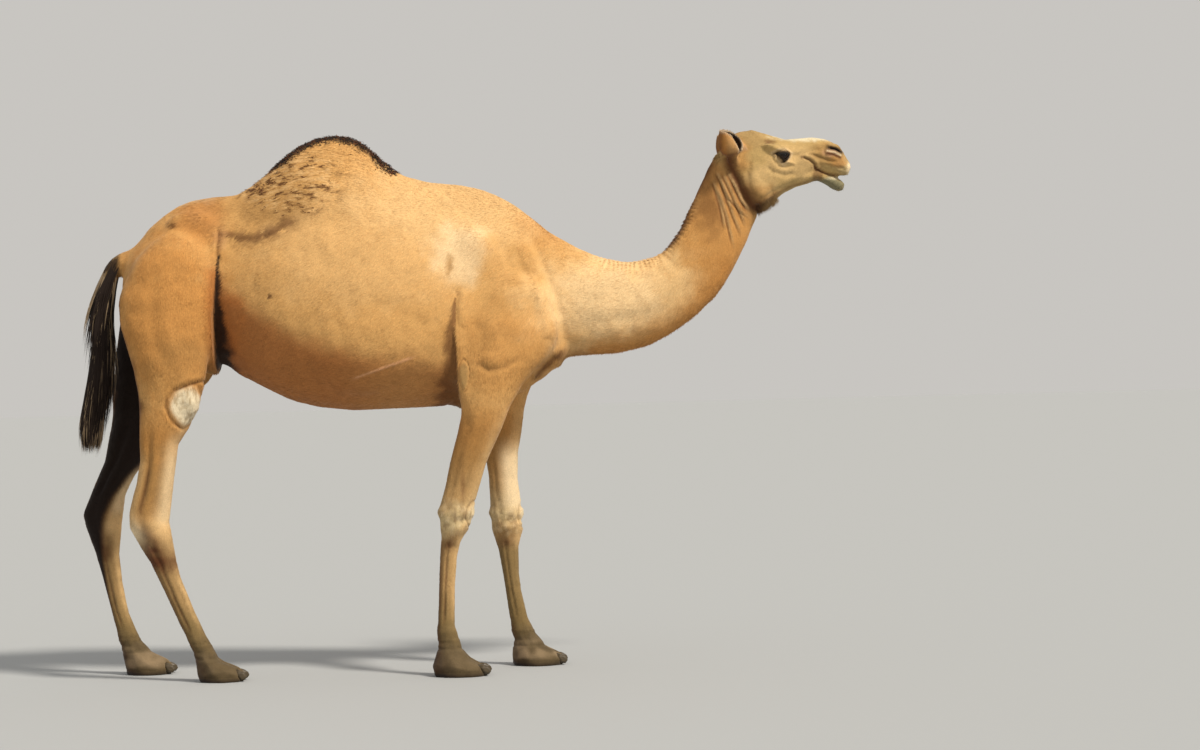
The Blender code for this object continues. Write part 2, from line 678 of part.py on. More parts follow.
def build():
    for old in list(bpy.data.objects):
        bpy.data.objects.remove(old)
    make_finishes()
    body = whole_body()

    nodes = [make_jaw(body)]
    for label, side in (("right", -1), ("left", 1)):
        eye = make_eye(side)
        wider = swollen(eye, GAP * 2)
        boolean(body, wider, "DIFFERENCE")
        discard(wider)
        nodes.append(finish(eye, f"eye_{label}", "eye_wet"))

    wider_body = swollen(body, GAP * 2)
    for label, side in (("right", -1), ("left", 1)):
        ear = boolean(make_ear(side), wider_body, "DIFFERENCE")
        nodes.append(finish(ear, f"ear_{label}", "coat_face"))
    tail = blended("tail", [slanted_loft("tail", TAIL)], 0.006, [(4, lambda places: np.ones(len(places)))])
    thinned(tail, 360)
    boolean(tail, wider_body, "DIFFERENCE")
    tuft = split(tail, (-1.38, 0, 1.26), (0, 0, -1), "tail_tuft")
    nodes.append(finish(tail, "tail_dock", "tail_hair"))
    nodes.append(finish(tuft, "tail_tuft", "tail_hair"))
    discard(wider_body)

    legs = part_legs(body)
    nodes += legs
    nodes += make_nails(legs)

    head = split(body, (1.025, 0, 1.80), (0.80, 0, 0.60), "head")
    nodes.append(finish(head, "head", "coat_face"))
    upper_neck = split(body, (0.885, 0, 1.52), (0.50, 0, 0.86), "neck_upper")
    nodes.append(finish(upper_neck, "neck_upper", "coat_sand"))
    middle_neck = split(body, (0.640, 0, 1.37), (1.0, 0, 0.12), "neck_middle")
    nodes.append(finish(middle_neck, "neck_middle", "coat_sand"))
    lower_neck = split(body, (0.400, 0, 1.40), (1.0, 0, 0.22), "neck_base")
    nodes.append(finish(lower_neck, "neck_base", "coat_sand"))
    croup = split(body, (-0.900, 0, 1.60), (-1.0, 0, 0.0), "croup")
    nodes.append(finish(croup, "croup", "coat_sand"))
    hump = split(body, (-0.50, 0, 1.800), (0, 0, 1), "hump_raw")
    nodes.append(finish(hump, "hump", "coat_sand"))
    nodes.append(finish(body, "trunk", "coat_sand"))

    camel = bpy.data.collections.new("camel")
    bpy.context.scene.collection.children.link(camel)
    for node in nodes:
        for holder in list(node.users_collection):
            holder.objects.unlink(node)
        camel.objects.link(node)


build()
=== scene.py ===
import math

import bmesh
import bpy
import numpy as np
from mathutils import Matrix, Vector


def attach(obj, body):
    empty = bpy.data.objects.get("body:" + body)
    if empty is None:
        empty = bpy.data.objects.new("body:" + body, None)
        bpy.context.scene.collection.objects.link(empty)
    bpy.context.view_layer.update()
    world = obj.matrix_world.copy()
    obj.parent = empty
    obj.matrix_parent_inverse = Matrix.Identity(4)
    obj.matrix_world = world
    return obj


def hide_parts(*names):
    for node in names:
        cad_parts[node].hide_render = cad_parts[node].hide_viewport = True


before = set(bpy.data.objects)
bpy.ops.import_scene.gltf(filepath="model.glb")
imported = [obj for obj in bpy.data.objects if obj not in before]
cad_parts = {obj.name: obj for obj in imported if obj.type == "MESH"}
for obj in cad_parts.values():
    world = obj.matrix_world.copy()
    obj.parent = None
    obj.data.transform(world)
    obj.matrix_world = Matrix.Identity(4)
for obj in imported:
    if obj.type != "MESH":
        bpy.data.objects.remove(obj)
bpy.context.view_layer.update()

scene = bpy.context.scene
body = "root"  # a still model rides on this one body
# x runs forwards, y to the animal's left and z up from the floor, in metres unless a note says millimetres
sides = {"Right": -1, "Left": 1}


# small tools

def fromHex(code):
    # sRGB hex to linear red, green and blue
    share = np.array([int(code[i:i + 2], 16) for i in (1, 3, 5)]) / 255
    return np.where(share <= 0.04045, share / 12.92, ((share + 0.055) / 1.055) ** 2.4)


def ramp(values, start, end):
    # 0 at start, 1 at end, eased between
    share = np.clip((values - start) / (end - start), 0, 1)
    return share * share * (3 - 2 * share)


def band(values, start, full, last, end):
    # 0 before start, 1 from full to last, 0 again after end
    return ramp(values, start, full) * ramp(values, end, last)


def hill(distance, width):
    return np.exp(-(distance / width) ** 2)


def mixed(old, new, share):
    return old * (1 - share) + new * share


def unit(vectors):
    return vectors / np.maximum(np.linalg.norm(vectors, axis=1, keepdims=True), 1e-9)


def softNoise(points, size, seed):
    # smooth blobs about this size across, from -1 to 1
    grid = points / size + seed * 7.31
    cell = np.floor(grid).astype(np.int64)
    share = grid - cell
    share = share * share * (3 - 2 * share)
    total = np.zeros(len(points))
    for corner in range(8):
        offset = np.array([corner & 1, corner >> 1 & 1, corner >> 2])
        spot = cell + offset
        mixedUp = spot[:, 0] * 73856093 ^ spot[:, 1] * 19349663 ^ spot[:, 2] * 83492791
        mixedUp = ((mixedUp ^ mixedUp >> 13) * 1274126177 + seed * 97) & 0xFFFFFFFF
        value = ((mixedUp ^ mixedUp >> 15) & 0xFFFF) / 32767.5 - 1
        total += value * np.prod(np.where(offset, share, 1 - share), axis=1)
    return total


def inSideView(line):
    # lines are drawn in side view, as x and z by turns in millimetres
    return np.array(line).reshape(-1, 2) / 1000


def mirrored(place, side):
    # a place given for the left side, moved to this one
    return np.array(place) * np.array([1, side, 1])


def pick(*pieces):
    bpy.ops.object.select_all(action="DESELECT")
    for piece in pieces:
        piece.select_set(True)
    bpy.context.view_layer.objects.active = pieces[0]


def join(pieces):
    pick(*pieces)
    bpy.ops.object.join()
    return pieces[0]


def editWhole(piece, tool, **settings):
    # one of the edit tools, run on every point of the piece
    pick(piece)
    bpy.ops.object.mode_set(mode="EDIT")
    bpy.ops.mesh.select_all(action="SELECT")
    tool(**settings)
    bpy.ops.object.mode_set(mode="OBJECT")


def applyModifier(piece, kind, **settings):
    modifier = piece.modifiers.new(kind, kind)
    for name, value in settings.items():
        setattr(modifier, name, value)
    pick(piece)
    bpy.ops.object.modifier_apply(modifier=modifier.name)


def addGroup(piece, weights):
    group = piece.vertex_groups.new(name="weights")
    for level in np.unique(weights):
        group.add(np.flatnonzero(weights == level).tolist(), float(level), "REPLACE")
    return group.name


def makeObject(name, mesh):
    piece = bpy.data.objects.new(name, mesh)
    scene.collection.objects.link(piece)
    return piece


def addBall(place, radius, segments, rings):
    bpy.ops.mesh.primitive_uv_sphere_add(segments=segments, ring_count=rings, radius=radius, location=place)
    bpy.ops.object.transform_apply(location=True, rotation=True, scale=True)
    return bpy.context.object


def readAll(items, name, width, kind=float):
    values = np.empty(len(items) * width, kind)
    items.foreach_get(name, values)
    return values.reshape(-1, width)


def pointsOf(piece):
    return readAll(piece.data.vertices, "co", 3)


def normalsOf(piece):
    return readAll(piece.data.vertices, "normal", 3)


def setPoints(piece, points):
    piece.data.vertices.foreach_set("co", points.ravel())
    piece.data.update()


def areaOf(corners):
    return np.linalg.norm(np.cross(corners[:, 1] - corners[:, 0], corners[:, 2] - corners[:, 0]), axis=1) / 2


def setColours(piece, name, colours):
    # a colour for each corner point of the mesh, kept in linear light
    layer = piece.data.color_attributes.new(name, "FLOAT_COLOR", "POINT")
    layer.data.foreach_set("color", np.column_stack([colours, np.ones(len(colours))]).ravel())


def finishPiece(piece, material):
    piece.data.materials.clear()
    piece.data.materials.append(material)
    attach(piece, body)


def addNode(material, kind, settings=None, links=None):
    # settings are the node's own or its inputs' values; links name the sockets that feed it
    tree = material.node_tree
    node = tree.nodes["Principled BSDF"] if kind == "shader" else tree.nodes.new(kind)
    for name, value in (settings or {}).items():
        if hasattr(node, name):
            setattr(node, name, value)
        else:
            node.inputs[name].default_value = value
    for name, source in (links or {}).items():
        tree.links.new(source, node.inputs[name])
    return node


def newMaterial(name):
    material = bpy.data.materials.new(name)
    material.use_nodes = True
    return material


# the skin: every node of flesh blended into one, then modelled

skinPlan = {
    "voxel": 0.0045,
    "softenRounds": 120,
    "haunchRounds": 160,  # more of them where the haunch runs into the croup
    "triangles": 190000,
    "headDetail": (1.0, 1.68),  # ahead of this x and above this z the mesh is twice as fine
}
earPlan = {
    "length": 0.111,
    "radius": 0.046,  # of the cup's round, where it is widest
    "wall": 0.0075,
    "open": (150, 116),  # degrees from the middle of the back to each rim, at the root and at the tip
    "root": (1.033, 0.08, 1.902),
    "up": (-0.16, 0.28, 0.95),  # from root to tip, for the left ear
    "facing": (0.91, 0.4, 0.25),  # the way its hollow looks
    "knobRadius": 0.024,  # of the knob that sets it on the head
}


def earWays():
    # across, the way the hollow looks and up, for the left ear
    upward = Vector(earPlan["up"]).normalized()
    facing = Vector(earPlan["facing"])
    facing = (facing - facing.dot(upward) * upward).normalized()
    return np.array([upward.cross(facing), facing, upward])


def earRound(up):
    # the cup's radius: narrow at the root, full at the middle, less at the tip
    swell = 0.36 + 0.64 * np.sin(math.pi / 2 * np.clip(up / 0.45, 0, 1))
    return earPlan["radius"] * swell * (1 - 0.3 * np.clip(2 * up - 1, 0, 1) ** 2)


def earOpen(up):
    root, tip = earPlan["open"]
    return np.radians(root + (tip - root) * up)


def earTop(across):
    # the rim's height, as a share of the length: the inner rim is the lower, both corners are round
    return 1 - 0.17 * np.abs(across - 0.25) ** 2.2 - 0.1 * (np.maximum(np.abs(across) - 0.6, 0) / 0.4) ** 2


def makeEar(side):
    bpy.ops.mesh.primitive_grid_add(x_subdivisions=48, y_subdivisions=44, size=2)
    ear = bpy.context.object
    points = pointsOf(ear)
    across, up = points[:, 0], (points[:, 1] + 1) / 2
    curl, radius = across * earOpen(up), earRound(up)
    height = earPlan["length"] * up * (1 - up * (1 - earTop(across)))
    local = np.column_stack([radius * np.sin(curl), -radius * np.cos(curl), height])
    setPoints(ear, mirrored(local @ earWays() + np.array(earPlan["root"]), side))
    applyModifier(ear, "SOLIDIFY", thickness=earPlan["wall"], offset=0)
    base = mirrored(earPlan["root"], side) - np.array([0.004, 0.008 * side, 0.004])
    return join([ear, addBall(base, earPlan["knobRadius"], 32, 20)])


def joinFlesh():
    # a copy of every node of flesh, closed at its own cuts, with finer ears
    whole = join([makeObject(name + "Flesh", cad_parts[name].data.copy())
                  for name in flesh if not name.startswith("ear")])
    editWhole(whole, bpy.ops.mesh.remove_doubles, threshold=0.0001)
    join([whole, *[makeEar(side) for side in sides.values()]])
    whole.name = whole.data.name = "skin"
    whole.data.materials.clear()
    return whole


def headward(points):
    # how far towards the head, on a slant from the throat up to the nape
    return points[:, 0] * 0.8 + points[:, 2] * 0.6


def headShare(points, start=1.895, end=1.935):
    return ramp(headward(points), start, end) * (points[:, 0] > 0.9)


def headForms(points):
    # the head with a softer edge than its coat has
    return headShare(points, 1.88, 1.94)


def dockShare(points, start, end):
    # the tail, which begins between these two places along the body
    x, y, z = points.T
    return ramp(x, start, end) * ramp(np.abs(y), 0.075, 0.05) * ramp(z, 0.83, 0.86)


def earPlace(points):
    # round each ear: distance from its axis, share of the way round to a rim, and height up it
    sided = points * np.column_stack([np.ones(len(points)), np.where(points[:, 1] < 0, -1, 1), np.ones(len(points))])
    across, ahead, height = ((sided - np.array(earPlan["root"])) @ earWays().T).T
    up = np.clip(height / earPlan["length"], 0, 1)
    return np.hypot(across, ahead), np.arctan2(across, -ahead) / earOpen(up), height, up


def earZone(points):
    away, share, height, up = earPlace(points)
    return ramp(away, 0.064, 0.057) * band(height, 0.01, 0.024, 0.125, 0.14)


def softness(points):
    # broad forms blend more than legs, feet, head and ears
    x, y, z = points.T
    broad, leg = 0.026, 0.0115
    spread = np.where(x > 0.35, 0.024 - 0.011 * ramp(x, 0.35, 0.95), broad)
    spread = mixed(spread, leg, ramp(z, 1.2, 0.95))
    spread = np.where(z < 0.75, leg - 0.004 * ramp(z, 0.75, 0.45), spread)
    spread = np.where(z < 0.16, 0.007, spread)
    spread = mixed(spread, 0.0052, headForms(points))
    spread = mixed(spread, 0.0022, earZone(points))
    spread = mixed(spread, 0.009, dockShare(points, -1.27, -1.31))
    return (spread / broad) ** 2


def haunchTop(points):
    # the haunch runs into the croup with no edge
    x, y, z = points.T
    return ramp(np.hypot((x + 1.165) / 0.16, (z - 1.59) / 0.14), 1.0, 0.5)


def softenSkin(skin, rounds, weigh):
    weights = np.clip(np.round(weigh(pointsOf(skin)) * 60) / 60, 0.004, 1)
    applyModifier(skin, "SMOOTH", factor=0.6, iterations=rounds, vertex_group=addGroup(skin, weights))
    skin.vertex_groups.clear()


def coatDepth(points):
    # how far the hair stands over the skin, which lies inside the solids by this much
    z = points[:, 2]
    depth = 0.0035 + 0.0025 * ramp(z, 0.9, 1.1)
    depth = np.where(z < 0.14, 0.002 * ramp(z, 0.006, 0.03), depth)
    depth = mixed(depth, 0.0022, headForms(points)) * (1 - earZone(points))
    return depth - dockShare(points, -1.27, -1.33) * 0.002 * ramp(z, 1.45, 1.15)


def lineDistance(points, line, reach=0.2):
    # in side view: distance to a bent line, the same with a sign (positive left of its way),
    # and the share of its length passed; points farther off than the reach are left out
    flat, line = points[:, [0, 2]], inSideView(line)
    spans = np.diff(line, axis=0)
    lengths = np.hypot(spans[:, 0], spans[:, 1])
    passed = np.concatenate([[0], np.cumsum(lengths)])
    found = np.tile([[9.0], [9.0], [0.0]], len(flat))
    near = np.where(np.all((flat > line.min(axis=0) - reach) & (flat < line.max(axis=0) + reach), axis=1))[0]
    gaps, signed, shares = np.full(len(near), 9.0), np.zeros(len(near)), np.zeros(len(near))
    for start, span, length, before in zip(line, spans, lengths, passed):
        away = flat[near] - start
        along = np.clip(away @ span / length ** 2, 0, 1)
        gap = np.hypot(*(away - along[:, None] * span).T)
        closer = gap < gaps
        turn = np.sign(span[0] * away[:, 1] - span[1] * away[:, 0])
        gaps = np.where(closer, gap, gaps)
        signed = np.where(closer, turn * gap, signed)
        shares = np.where(closer, (before + along * length) / passed[-1], shares)
    found[:, near] = gaps, signed, shares
    return found


# folds of the skin: line, width and depth of the groove, and how far the skin swells beside it,
# on the left of the line's way, all in millimetres
folds = {
    "shoulderFront": ([255, 1660, 300, 1540, 335, 1440, 358, 1337, 374, 1244, 362, 1190], 20, 6, -6),
    "flankTop": ([-897, 1690, -899, 1630, -903, 1560], 9, 5, 3),
    "elbowTop": ([-3, 1440, -14, 1370, -13, 1280], 10, 8, 4),
    "patchCrease": ([-30, 1560, -34, 1525, -40, 1490], 10, 3, 0),
    "scar": ([-400, 1107, -290, 1145, -165, 1187], 6, -1.8, 0),
    "tricepsBack": ([40, 1330, 75, 1270, 85, 1190, 70, 1120], 20, 3, 3),
    "tricepsLow": ([50, 1165, 100, 1130, 160, 1140, 215, 1175], 14, 4, 4),
    "chestFold": ([354, 1186, 310, 1145, 262, 1100], 11, 6, 3),
    "haunchBack": ([-1110, 1560, -1135, 1430, -1125, 1290, -1090, 1150], 26, 4, 4),
    "haunchFront": ([-985, 1520, -1000, 1400, -1010, 1260], 30, 2, 2),
    "jugular": ([430, 1290, 605, 1305, 761, 1350, 860, 1440, 940, 1560], 24, 3.5, 2),
    "throat": ([1019, 1880, 1040, 1820, 1066, 1765, 1105, 1722, 1150, 1700], 17, 11, -4),
    "stifleTop": ([-1062, 1076, -1010, 1098, -945, 1122], 7, 5, 3),
    "stifleRear": ([-1085, 1070, -1092, 1020, -1070, 965, -1030, 935], 6, 3.5, 2),
}
# the long slack folds of the upper neck and the short pleats across its crest
neckPleats = {
    "lines": [
        [958, 1858, 1004, 1753, 1054, 1696, 1102, 1661],
        [1002, 1853, 1038, 1774, 1087, 1676],
        [975, 1817, 1020, 1685, 1059, 1591],
        [960, 1799, 994, 1686, 1014, 1592, 1025, 1547],
        [983, 1846, 1029, 1737, 1075, 1628],
        [946, 1825, 973, 1724, 989, 1623],
        [1016, 1823, 1052, 1740, 1092, 1695],
    ],
    "width": 0.005,
    "depth": 0.0032,
    "crest": [300, 1660, 452, 1586, 567, 1541, 662, 1536, 750, 1564, 812, 1637, 856, 1722, 894, 1802],
    "crestWaves": 0.82 / 0.0165,  # the crest's length by the room that one pleat takes
    "crestDepth": 0.0022,
}
# the sharp edges of thigh and arm, each with the side that its hollow lies on, its depth and its reach
hollows = {
    "flank": ([-903, 1560, -913, 1510, -926, 1350, -930, 1125], 1, 0.046, 0.085),
    "armpit": ([-13, 1360, -16, 1250, -14, 1150, -8, 1000], -1, 0.024, 0.095),
}


def pressFolds(points):
    push = np.zeros(len(points))
    for line, *sizes in folds.values():
        width, depth, rise = np.array(sizes) / 1000
        gap, signed, share = lineDistance(points, line)
        fade = band(share, 0, 0.2, 0.8, 1) * hill(np.maximum(gap - 0.05, 0), 0.02)
        swell = abs(rise) * hill(signed - math.copysign(2.4 * width, rise), 2 * width)
        push += fade * (swell - depth * hill(gap, width))
    return push


def pressPleats(points):
    y = points[:, 1]
    width, depth = neckPleats["width"], neckPleats["depth"]
    push = np.zeros(len(points))
    for line in neckPleats["lines"]:
        gap, signed, share = lineDistance(points, line)
        fade = band(share, 0, 0.15, 0.7, 1) * ramp(np.abs(y), 0.012, 0.035)
        push += fade * (0.5 * depth * hill(signed - 0.012, 0.007) - depth * hill(gap, width))
    gap, signed, share = lineDistance(points, neckPleats["crest"])
    wave = np.cos(2 * math.pi * (share * neckPleats["crestWaves"] + 0.25 * softNoise(points, 0.03, 5)))
    strong = band(share, 0.25, 0.4, 0.9, 1.0) * hill(np.maximum(gap - 0.012, 0), 0.028)
    return push + neckPleats["crestDepth"] * wave * strong * (0.6 + 0.4 * softNoise(points, 0.05, 6))


def pressHollows(points):
    push = np.zeros(len(points))
    for line, way, depth, reach in hollows.values():
        gap, signed, share = lineDistance(points, line)
        ahead = signed * way
        inside = ramp(ahead, -0.001, 0.012) * hill(np.maximum(ahead, 0), reach * (0.35 + 0.65 * share))
        lip = hill(ahead + 0.016, 0.016)
        push += ramp(share, 0.0, 0.7) * (0.006 * lip - depth * inside) * ramp(share, 1.0001, 0.9) ** 0.5
    return push


def pressTrunk(points):
    # ribs under the skin and slack skin
    x, y, z = points.T
    ribs = np.cos(2 * math.pi * ((x + 0.25 * (z - 1.4)) / 0.072 + 0.1 * softNoise(points, 0.2, 3)))
    barrel = band(x, -0.84, -0.6, -0.14, 0.0) * band(z, 1.1, 1.25, 1.56, 1.74)
    trunk = ramp(z, 0.98, 1.05) * ramp(x, 0.75, 0.4)
    neck = ramp(x, 0.4, 0.6) * ramp(headward(points), 1.94, 1.88)
    push = 0.0003 * ribs * barrel
    push += trunk * (0.0022 * softNoise(points, 0.11, 1) + 0.0011 * softNoise(points, 0.035, 2))
    return push + neck * 0.0014 * softNoise(points * np.array([1, 1, 0.6]), 0.03, 4)


legRows = {}  # each leg's rear, front, inner and outer reach at these heights, taken from the skin once
legLevels = np.arange(0.01, 1.02, 0.02)
legSides = {"foreRight": (-1, 1), "foreLeft": (1, 1), "hindRight": (-1, -1), "hindLeft": (1, -1)}


def legFrames(points):
    # for each leg: its points, and how far each lies fore and aft, outwards and up
    frames = {}
    x, y, z = points.T
    for name, (side, ahead) in legSides.items():
        mine = (y * side > 0.075) & ((x + 0.45) * ahead > 0) & (z < 1.05) & (x > -1.53)
        mine &= ~((x < -1.28) & (np.abs(y) < 0.062) & (z > 0.8))
        if name not in legRows:
            rings = [mine & (np.abs(z - level) < 0.008) for level in legLevels]
            legRows[name] = np.array([(x[r].min(), x[r].max(), y[r].min(), y[r].max()) for r in rings])
        at = np.where(mine)[0]
        rear, front, inner, outer = (np.interp(z[at], legLevels, row) for row in legRows[name].T)
        u = (x[at] - (rear + front) / 2) / ((front - rear) / 2)
        v = side * (y[at] - (inner + outer) / 2) / ((outer - inner) / 2)
        frames[name] = (at, u, v, z[at])
    return frames


# heights of the knee or hock and of the fetlock on each leg
legJoints = {
    "foreRight": (0.575, 0.165),
    "foreLeft": (0.555, 0.14),
    "hindRight": (0.585, 0.15),
    "hindLeft": (0.61, 0.15),
}


def pressLegs(points):
    # up and down count from the knee or hock, and from the fetlock
    push = np.zeros(len(points))
    for name, (at, u, v, z) in legFrames(points).items():
        up, down = (z - joint for joint in legJoints[name])
        cannon = ramp(down, 0.02, 0.07) * ramp(up, -0.05, -0.1)
        upper = band(up, 0.05, 0.13, 0.28, 0.42)
        broad = ramp(np.abs(v), 0.25, 0.7)  # the leg's inner and outer sides
        wander = 0.1 * softNoise(points[at], 0.06, 9)
        # the cannon bone stands between two grooves, with the tendons behind it
        here = -0.004 * cannon * broad * hill(u + 0.22 + wander, 0.2)
        here -= 0.0018 * cannon * broad * hill(u - 0.42 - wander, 0.18)
        here += 0.0015 * cannon * hill(v, 0.5) * (u < 0)
        if name.startswith("hind"):
            # the long tendon above the hock, the muscle before it and the hock's bones
            here -= 0.0085 * upper * broad * hill(u + 0.46, 0.17)
            here += 0.003 * upper * hill(u + 0.95, 0.25)
            here -= 0.003 * upper * broad * hill(u - 0.15, 0.16)
            here += 0.004 * hill(up - 0.005, 0.022) * broad * hill(u - 0.1, 0.35)
            here -= 0.004 * broad * hill(up + 0.02, 0.05) * hill(u + 0.35, 0.22)
        else:
            # the forearm's muscles, the two rows of knee bones and the bone behind the knee
            here -= 0.0045 * upper * ramp(v, 0.1, 0.6) * hill(u - 0.1 + 0.5 * (up - 0.2), 0.15)
            here -= 0.0035 * upper * broad * hill(u + 0.55, 0.16)
            for level, strength in ((0.03, 0.0045), (-0.03, 0.004)):
                here += strength * hill(up - level, 0.02) * (0.4 + 0.6 * ramp(u, -0.5, 0.6))
            here -= 0.0045 * hill(up, 0.012) * ramp(u, -0.4, 0.5)
            here += 0.006 * hill(up - 0.032, 0.018) * hill(u + 1, 0.35)
            here -= 0.004 * broad * hill(u + 0.35, 0.22) * hill(up, 0.06)
        # the fetlock, the creases under it, the cleft between the toes and the sole's edge
        here += 0.0035 * hill(down, 0.018) * (0.5 + 0.5 * broad)
        here -= 0.003 * hill(down + 0.04, 0.01) * ramp(u, 0.9, -0.4)
        here -= 0.0022 * hill(down + 0.062, 0.007)
        here -= 0.013 * ramp(z, 0.1, 0.05) * hill(v, 0.13) * ramp(u, 0.15, 0.75)
        here -= 0.0015 * hill(z - 0.017, 0.006)
        push[at] += here
    return push


# bare pads: centre and radii
pads = {
    "stifleRight": ((-1.012, -0.235, 1.018), (0.066, 0.08, 0.08)),
    "stifleLeft": ((-1.085, 0.235, 1.04), (0.066, 0.08, 0.08)),
    "elbowRight": ((0.009, -0.235, 1.115), (0.019, 0.05, 0.052)),
    "elbowLeft": ((0.013, 0.235, 1.115), (0.019, 0.05, 0.052)),
    "kneeRight": ((0.038, -0.174, 0.59), (0.04, 0.06, 0.052)),
    "kneeLeft": ((0.222, 0.174, 0.57), (0.04, 0.06, 0.052)),
    "chest": ((0.06, 0.0, 0.985), (0.12, 0.085, 0.05)),
}


def padShare(points, centre, radii):
    # how far out of a pad's middle a point lies, with a wandering edge; its lower end is the narrower one
    away = (points - np.array(centre)) / np.array(radii)
    away[:, 0] *= 1 + 0.35 * np.clip(-away[:, 2], 0, 1)
    return np.linalg.norm(away, axis=1) + 0.1 * softNoise(points, 0.022, 33)


def pressPads(points):
    # wrinkled pads on stifle, elbow, knee and chest
    push = np.zeros(len(points))
    wrinkles = np.abs(softNoise(points * np.array([1.0, 1.0, 0.45]), 0.008, 8)) - 0.35
    for centre, radii in pads.values():
        away = padShare(points, centre, radii)
        inside = ramp(away, 1.05, 0.7)
        push += 0.002 * inside + 0.0022 * inside * wrinkles - 0.003 * hill(away - 1.12, 0.12)
    return push


headPlan = {
    "eye": (1.217, 0.066, 1.906),
    "eyeAxis": (0.3, 0.95, 0.03),
    "eyeRadius": 0.0205,
    "lid": 0.0026,
    "nostril": [1393, 1937, 1417, 1931, 1438, 1919],
}
# grooves of the head: line, width, depth and the swell beside it, all in millimetres
headGrooves = {
    "mouthCorner": ([1290, 1903, 1318, 1892, 1337, 1876, 1341, 1852], 5, 6, 3),
    "muzzleHigh": ([1320, 1915, 1352, 1902, 1390, 1888, 1425, 1880], 6, 2.8, 2.2),
    "muzzleLow": ([1352, 1872, 1385, 1870, 1420, 1858, 1452, 1858], 5.5, 2.2, 1.8),
    "behindNostril": ([1385, 1955, 1372, 1925, 1380, 1900], 6, 2.5, 1.5),
    "lips": ([1342, 1860, 1365, 1846, 1392, 1836, 1410, 1832], 4.5, 5, 2),
    "besideNose": ([1255, 1900, 1285, 1915, 1330, 1925, 1370, 1930], 8, 3, 2),
    "underEye": ([1190, 1868, 1225, 1862, 1262, 1872], 6, 2.2, 1.8),
    "cheek": ([1150, 1870, 1180, 1845, 1225, 1835, 1275, 1842], 9, 3, 2.4),
    "cheekBack": ([1100, 1900, 1082, 1850, 1090, 1790, 1120, 1740], 10, 3, 3),
    "jawRim": ([1120, 1735, 1180, 1775, 1250, 1805, 1320, 1825], 8, 2.8, 2.2),
}
# knobs and hollows of the head: middle, radii and height, all in millimetres
headKnobs = {
    "nostrilTop": (1418, 1944, 30, 7, 3.5),
    "nostrilBase": (1416, 1918, 26, 5, 3),
    "overEye": (1176, 1962, 20, 10, -6),
    "temple": (1150, 1925, 22, 20, -3),
}


def eyeFrame(points, side):
    # distances from the eye's centre: out of the head, forwards and up
    out = Vector(mirrored(headPlan["eyeAxis"], side)).normalized()
    up = (Vector((0, 0, 1)) - out.z * out).normalized()
    ahead = up.cross(out)
    if ahead.x < 0:
        ahead = -ahead
    away = points - mirrored(headPlan["eye"], side)
    return away @ np.array(out), away @ np.array(ahead), away @ np.array(up), np.array(out)


def eyesOf(points):
    # for each eye, what eyeFrame gives and which points lie round it
    for side in sides.values():
        out, u, v, axis = eyeFrame(points, side)
        yield out, u, v, axis, (points[:, 1] * side > 0) & (out > -0.035)


def lidTop(u):
    # the height of the upper lid's edge, forwards along the eye
    return 0.0088 - 8.0 * (u - 0.001) ** 2 - 0.05 * u


def lidGap(u, v):
    # below 0 inside the opening of the lids, which is flat above and pointed below
    low = -0.0135 + 0.019 * (np.abs(u - 0.001) / 0.02) ** 1.25
    return np.maximum(v - lidTop(u), (low - v) * 0.8)


def modelEyes(points):
    # the skin rises to a dome over each eye, opens between the lids and folds round them
    moved = points.copy()
    radius = headPlan["eyeRadius"]
    lidRadius = radius + headPlan["lid"]
    blend = 0.0045
    for out, u, v, axis, near in eyesOf(points):
        far = np.hypot(u, v)
        dome = np.sqrt(np.maximum(lidRadius ** 2 - far ** 2, 0))
        base = out - 0.003 * hill(far, 0.035)
        tall = np.maximum(base, dome) + blend * np.exp(-np.abs(base - dome) / blend) * 0.5
        tall = np.where(far < lidRadius * 1.25, tall, base + (tall - base) * ramp(far, 0.04, lidRadius * 1.25))
        gap = lidGap(u, v)
        tall = tall + 0.0016 * hill(gap - 0.0022, 0.0026) - 0.003 * hill(gap - 0.0085, 0.0022) * ramp(v, -0.004, 0.006)
        tall = tall - 0.0018 * hill(gap - 0.0105, 0.0025) * ramp(v, 0, -0.008)
        hidden = np.sqrt(np.maximum((radius - 0.005) ** 2 - far ** 2, 0)) - 0.003
        tall = mixed(tall, np.minimum(hidden, tall), ramp(gap, 0.0008, -0.0012))
        change = np.where(near & (far < 0.05), tall - out, 0) * ramp(far, 0.05, 0.04)
        moved += change[:, None] * axis
    return moved


def pressHead(points):
    x, y, z = points.T
    push = np.zeros(len(points))

    def addGroove(line, *sizes, ends=0.15):
        width, depth, rise = np.array(sizes) / 1000
        gap, signed, share = lineDistance(points, line)
        fade = band(share, -0.001, ends, 1 - ends, 1.001)
        fade = np.where((share <= 0) | (share >= 1), fade * hill(gap, width), fade)
        swell = abs(rise) * hill(signed - math.copysign(2.1 * width, rise), 1.6 * width)
        push[:] += fade * (swell - depth * hill(gap, width))

    addGroove(headPlan["nostril"], 5.8, 13, 0, ends=0.1)
    for groove in headGrooves.values():
        addGroove(*groove)
    for knob in headKnobs.values():
        middleX, middleZ, radiusX, radiusZ, height = np.array(knob) / 1000
        push += height * np.exp(-((x - middleX) / radiusX) ** 2 - ((z - middleZ) / radiusZ) ** 2)
    push *= ramp(np.abs(y), 0.006, 0.016)  # nothing on the line down the middle
    push += 0.0004 * softNoise(points, 0.014, 11) + 0.0002 * softNoise(points, 0.006, 12)
    return push * headForms(points) * (1 - earZone(points))


